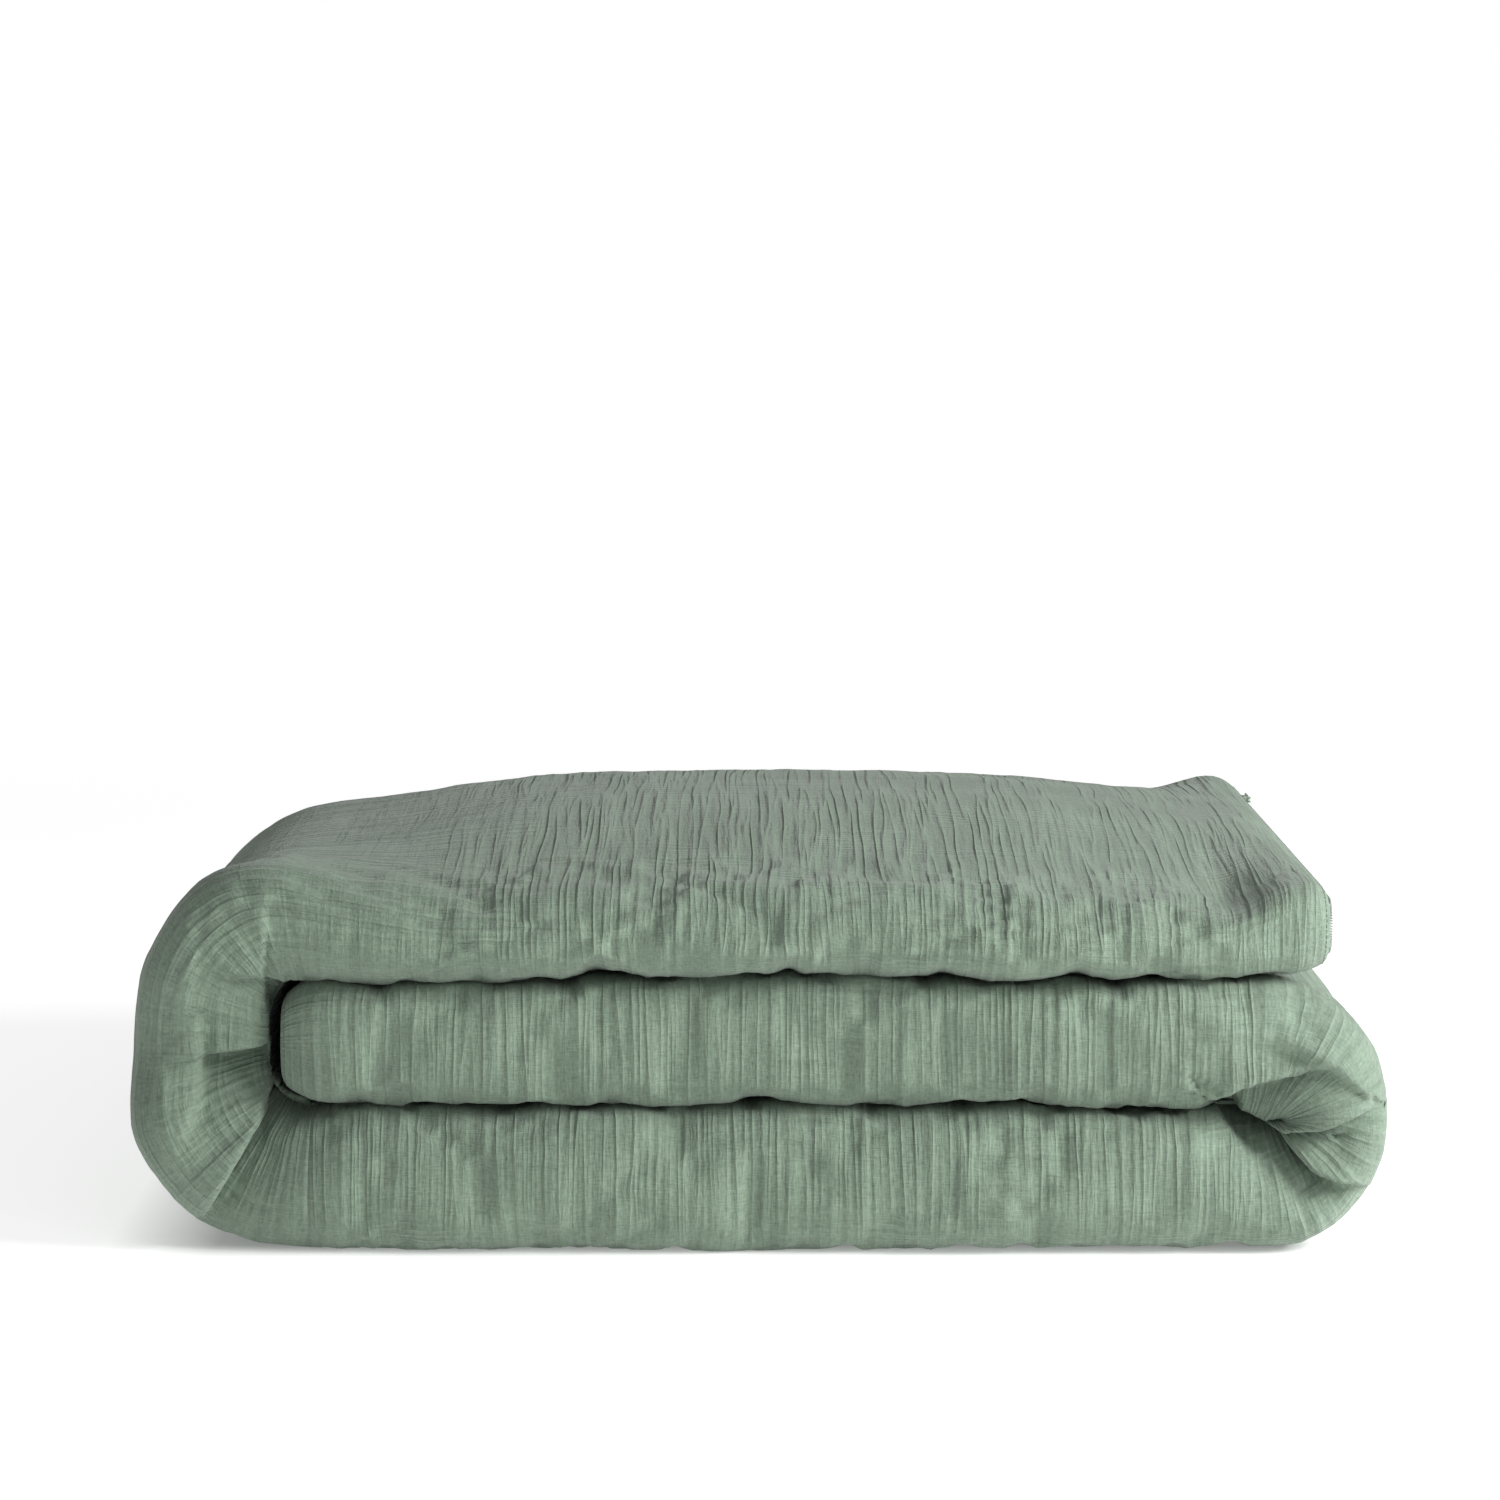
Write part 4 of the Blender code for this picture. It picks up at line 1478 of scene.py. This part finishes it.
class Studio:
    """A plain pale floor, soft light and the camera."""

    FLOOR_REACH = 40.0
    FADE_START = 3.0
    FADE_LENGTH = 16.0
    UNDER_EDGE = 0.07
    SURROUND = 0.28
    UNDER = 0.34
    # The floor's lower glow under the stack: a painted shadow.
    SHADOW_GLOW = 0.20
    NEAR_GLOW = 0.66
    FAR_GLOW = 0.85

    def __init__(self, low: Sequence[float]) -> None:
        """Keep the place of the stack's front."""
        self.front_y = low[1]

    def build(self) -> None:
        """Set up floor, light and camera."""
        self._floor()
        self._light()
        self._camera()

    def _floor(self) -> None:
        """A wide pale floor that glows a little as painted light, and glows less under the stack as a
        painted shadow.
        """
        mesh = bpy.data.meshes.new("floor")
        reach = self.FLOOR_REACH
        corners = [(-reach, -reach, 0), (reach, -reach, 0), (reach, reach, 0), (-reach, reach, 0)]
        mesh.from_pydata(corners, [], [(0, 1, 2, 3)])
        floor = add_object("floor", mesh)
        graph = Graph("studio_white")
        graph.set(Base_Color=rgba((0.8, 0.8, 0.8)), Roughness=0.9, Specular_IOR_Level=0.1)
        x, y, _ = graph.place()
        distance = ((x * x + y * y - self.FADE_START) / self.FADE_LENGTH).clamp()
        # The floor's glow is painted light; it is dimmed under the stack's footprint as a painted shadow.
        clear_x = ((abs(x) - self.UNDER) / self.UNDER_EDGE).clamp()
        clear_y = ((abs(y) - self.UNDER) / self.UNDER_EDGE).clamp()
        outside_painted_shadow = 1 - (1 - clear_x) * (1 - clear_y)
        near = graph.mix(outside_painted_shadow, rgba((self.SHADOW_GLOW,) * 3), rgba((self.NEAR_GLOW,) * 3))
        glow = graph.mix(distance, near, rgba((self.FAR_GLOW,) * 3))
        graph.set(Emission_Color=glow, Emission_Strength=1.0)
        mesh.materials.append(graph.material)
        floor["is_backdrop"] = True

    def _light(self) -> None:
        """A white surround, a key light from the right and a weak fill from the front."""
        world = bpy.data.worlds.new("surround")
        world.use_nodes = True
        tree = world.node_tree
        background = tree.nodes["Background"]
        background.inputs["Color"].default_value = (1.0, 1.0, 1.0, 1.0)
        rays = tree.nodes.new("ShaderNodeLightPath")
        strength = tree.nodes.new("ShaderNodeMapRange")
        strength.inputs["To Min"].default_value = self.SURROUND
        strength.inputs["To Max"].default_value = 1.0
        tree.links.new(rays.outputs["Is Camera Ray"], strength.inputs["Value"])
        tree.links.new(strength.outputs[0], background.inputs["Strength"])
        bpy.context.scene.world = world
        bpy.context.scene.view_settings.view_transform = "Standard"
        self._area("key_light", Vector((2.0, -1.0, 1.15)), 1.0, 72.0)
        self._area("fill_light", Vector((0.9, -2.6, 2.0)), 1.6, 10.0)

    def _area(self, name: str, place: Vector, size: float, power: float) -> None:
        """A square light that faces the stack."""
        data = bpy.data.lights.new(name, "AREA")
        data.size = size
        data.energy = power
        light = add_object(name, data)
        light.location = place
        light.rotation_euler = (Vector((0, 0, 0.1)) - place).to_track_quat("-Z", "Y").to_euler()

    def _camera(self) -> None:
        """The camera, low in front of the half fold and looking slightly down."""
        data = bpy.data.cameras.new("camera")
        data.lens = 118.1
        data.sensor_width = 36.0
        camera = add_object("camera", data)
        camera.location = (-0.006, self.front_y - 3.0, 0.625)
        camera.rotation_euler = (math.radians(84.13), 0.0, 0.0)
        bpy.context.scene.camera = camera


def across_fold(piece: bpy.types.Object) -> None:
    """Bake a piece's placement into its mesh."""
    sizes = StackSizes.from_frame()
    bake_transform(piece)


def nodes_of(name: str, half: Half) -> list[str]:
    """The frame's nodes of one soft piece along one half of the duvet."""
    lengths = ("_base",) if half is Half.LOWER else ("_bend", "_top")
    return [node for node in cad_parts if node.startswith(name) and node.endswith(lengths)]


def attach(piece: bpy.types.Object, half: Half) -> None:
    """Attach a piece of the lower half to the base; a piece of the upper half only has its placement baked
    into its mesh.
    """
    if half is Half.LOWER:
        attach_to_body(piece, "base")
    else:
        across_fold(piece)


def report(piece: bpy.types.Object) -> None:
    """Log a piece with its size."""
    log.info("%s: %d faces", piece.name, len(piece.data.polygons))


def dress_nodes(piece: bpy.types.Object, half: Half, nodes: Sequence[str]) -> None:
    """Let a padded piece stand for its nodes.

    Args:
        piece: The soft piece.
        half: The half of the duvet that it covers.
        nodes: The frame's nodes that it replaces.
    """
    attach(piece, half)
    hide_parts(*nodes)
    report(piece)


def main() -> None:
    """Build the duvet around its frame."""
    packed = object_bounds()
    sizes = StackSizes.from_frame()
    form = DuvetForm(FoldPath(sizes))
    Studio(packed[0]).build()
    repeat = RepeatAlong("repeat_along_path")
    cover = Cover(form, GauzeCloth())
    for half, piece in zip(Half, cover.build()):
        nodes = nodes_of("cover_face", half) + nodes_of("cover_back", half)
        dress_nodes(piece, half, nodes)
    for name, pieces in Insert(form).build().items():
        for half, piece in zip(Half, pieces):
            dress_nodes(piece, half, nodes_of(name, half))
    closure = Zip(form, repeat)
    coil = closure.coil()
    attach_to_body(coil, "top_flap")
    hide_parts("zip_coil")
    report(coil)
    closure.dress()
    Fittings(form).dress()
    for half, piece in Sewing(cover, repeat).build().items():
        attach(piece, half)
        report(piece)


if __name__ == "__main__":
    main()
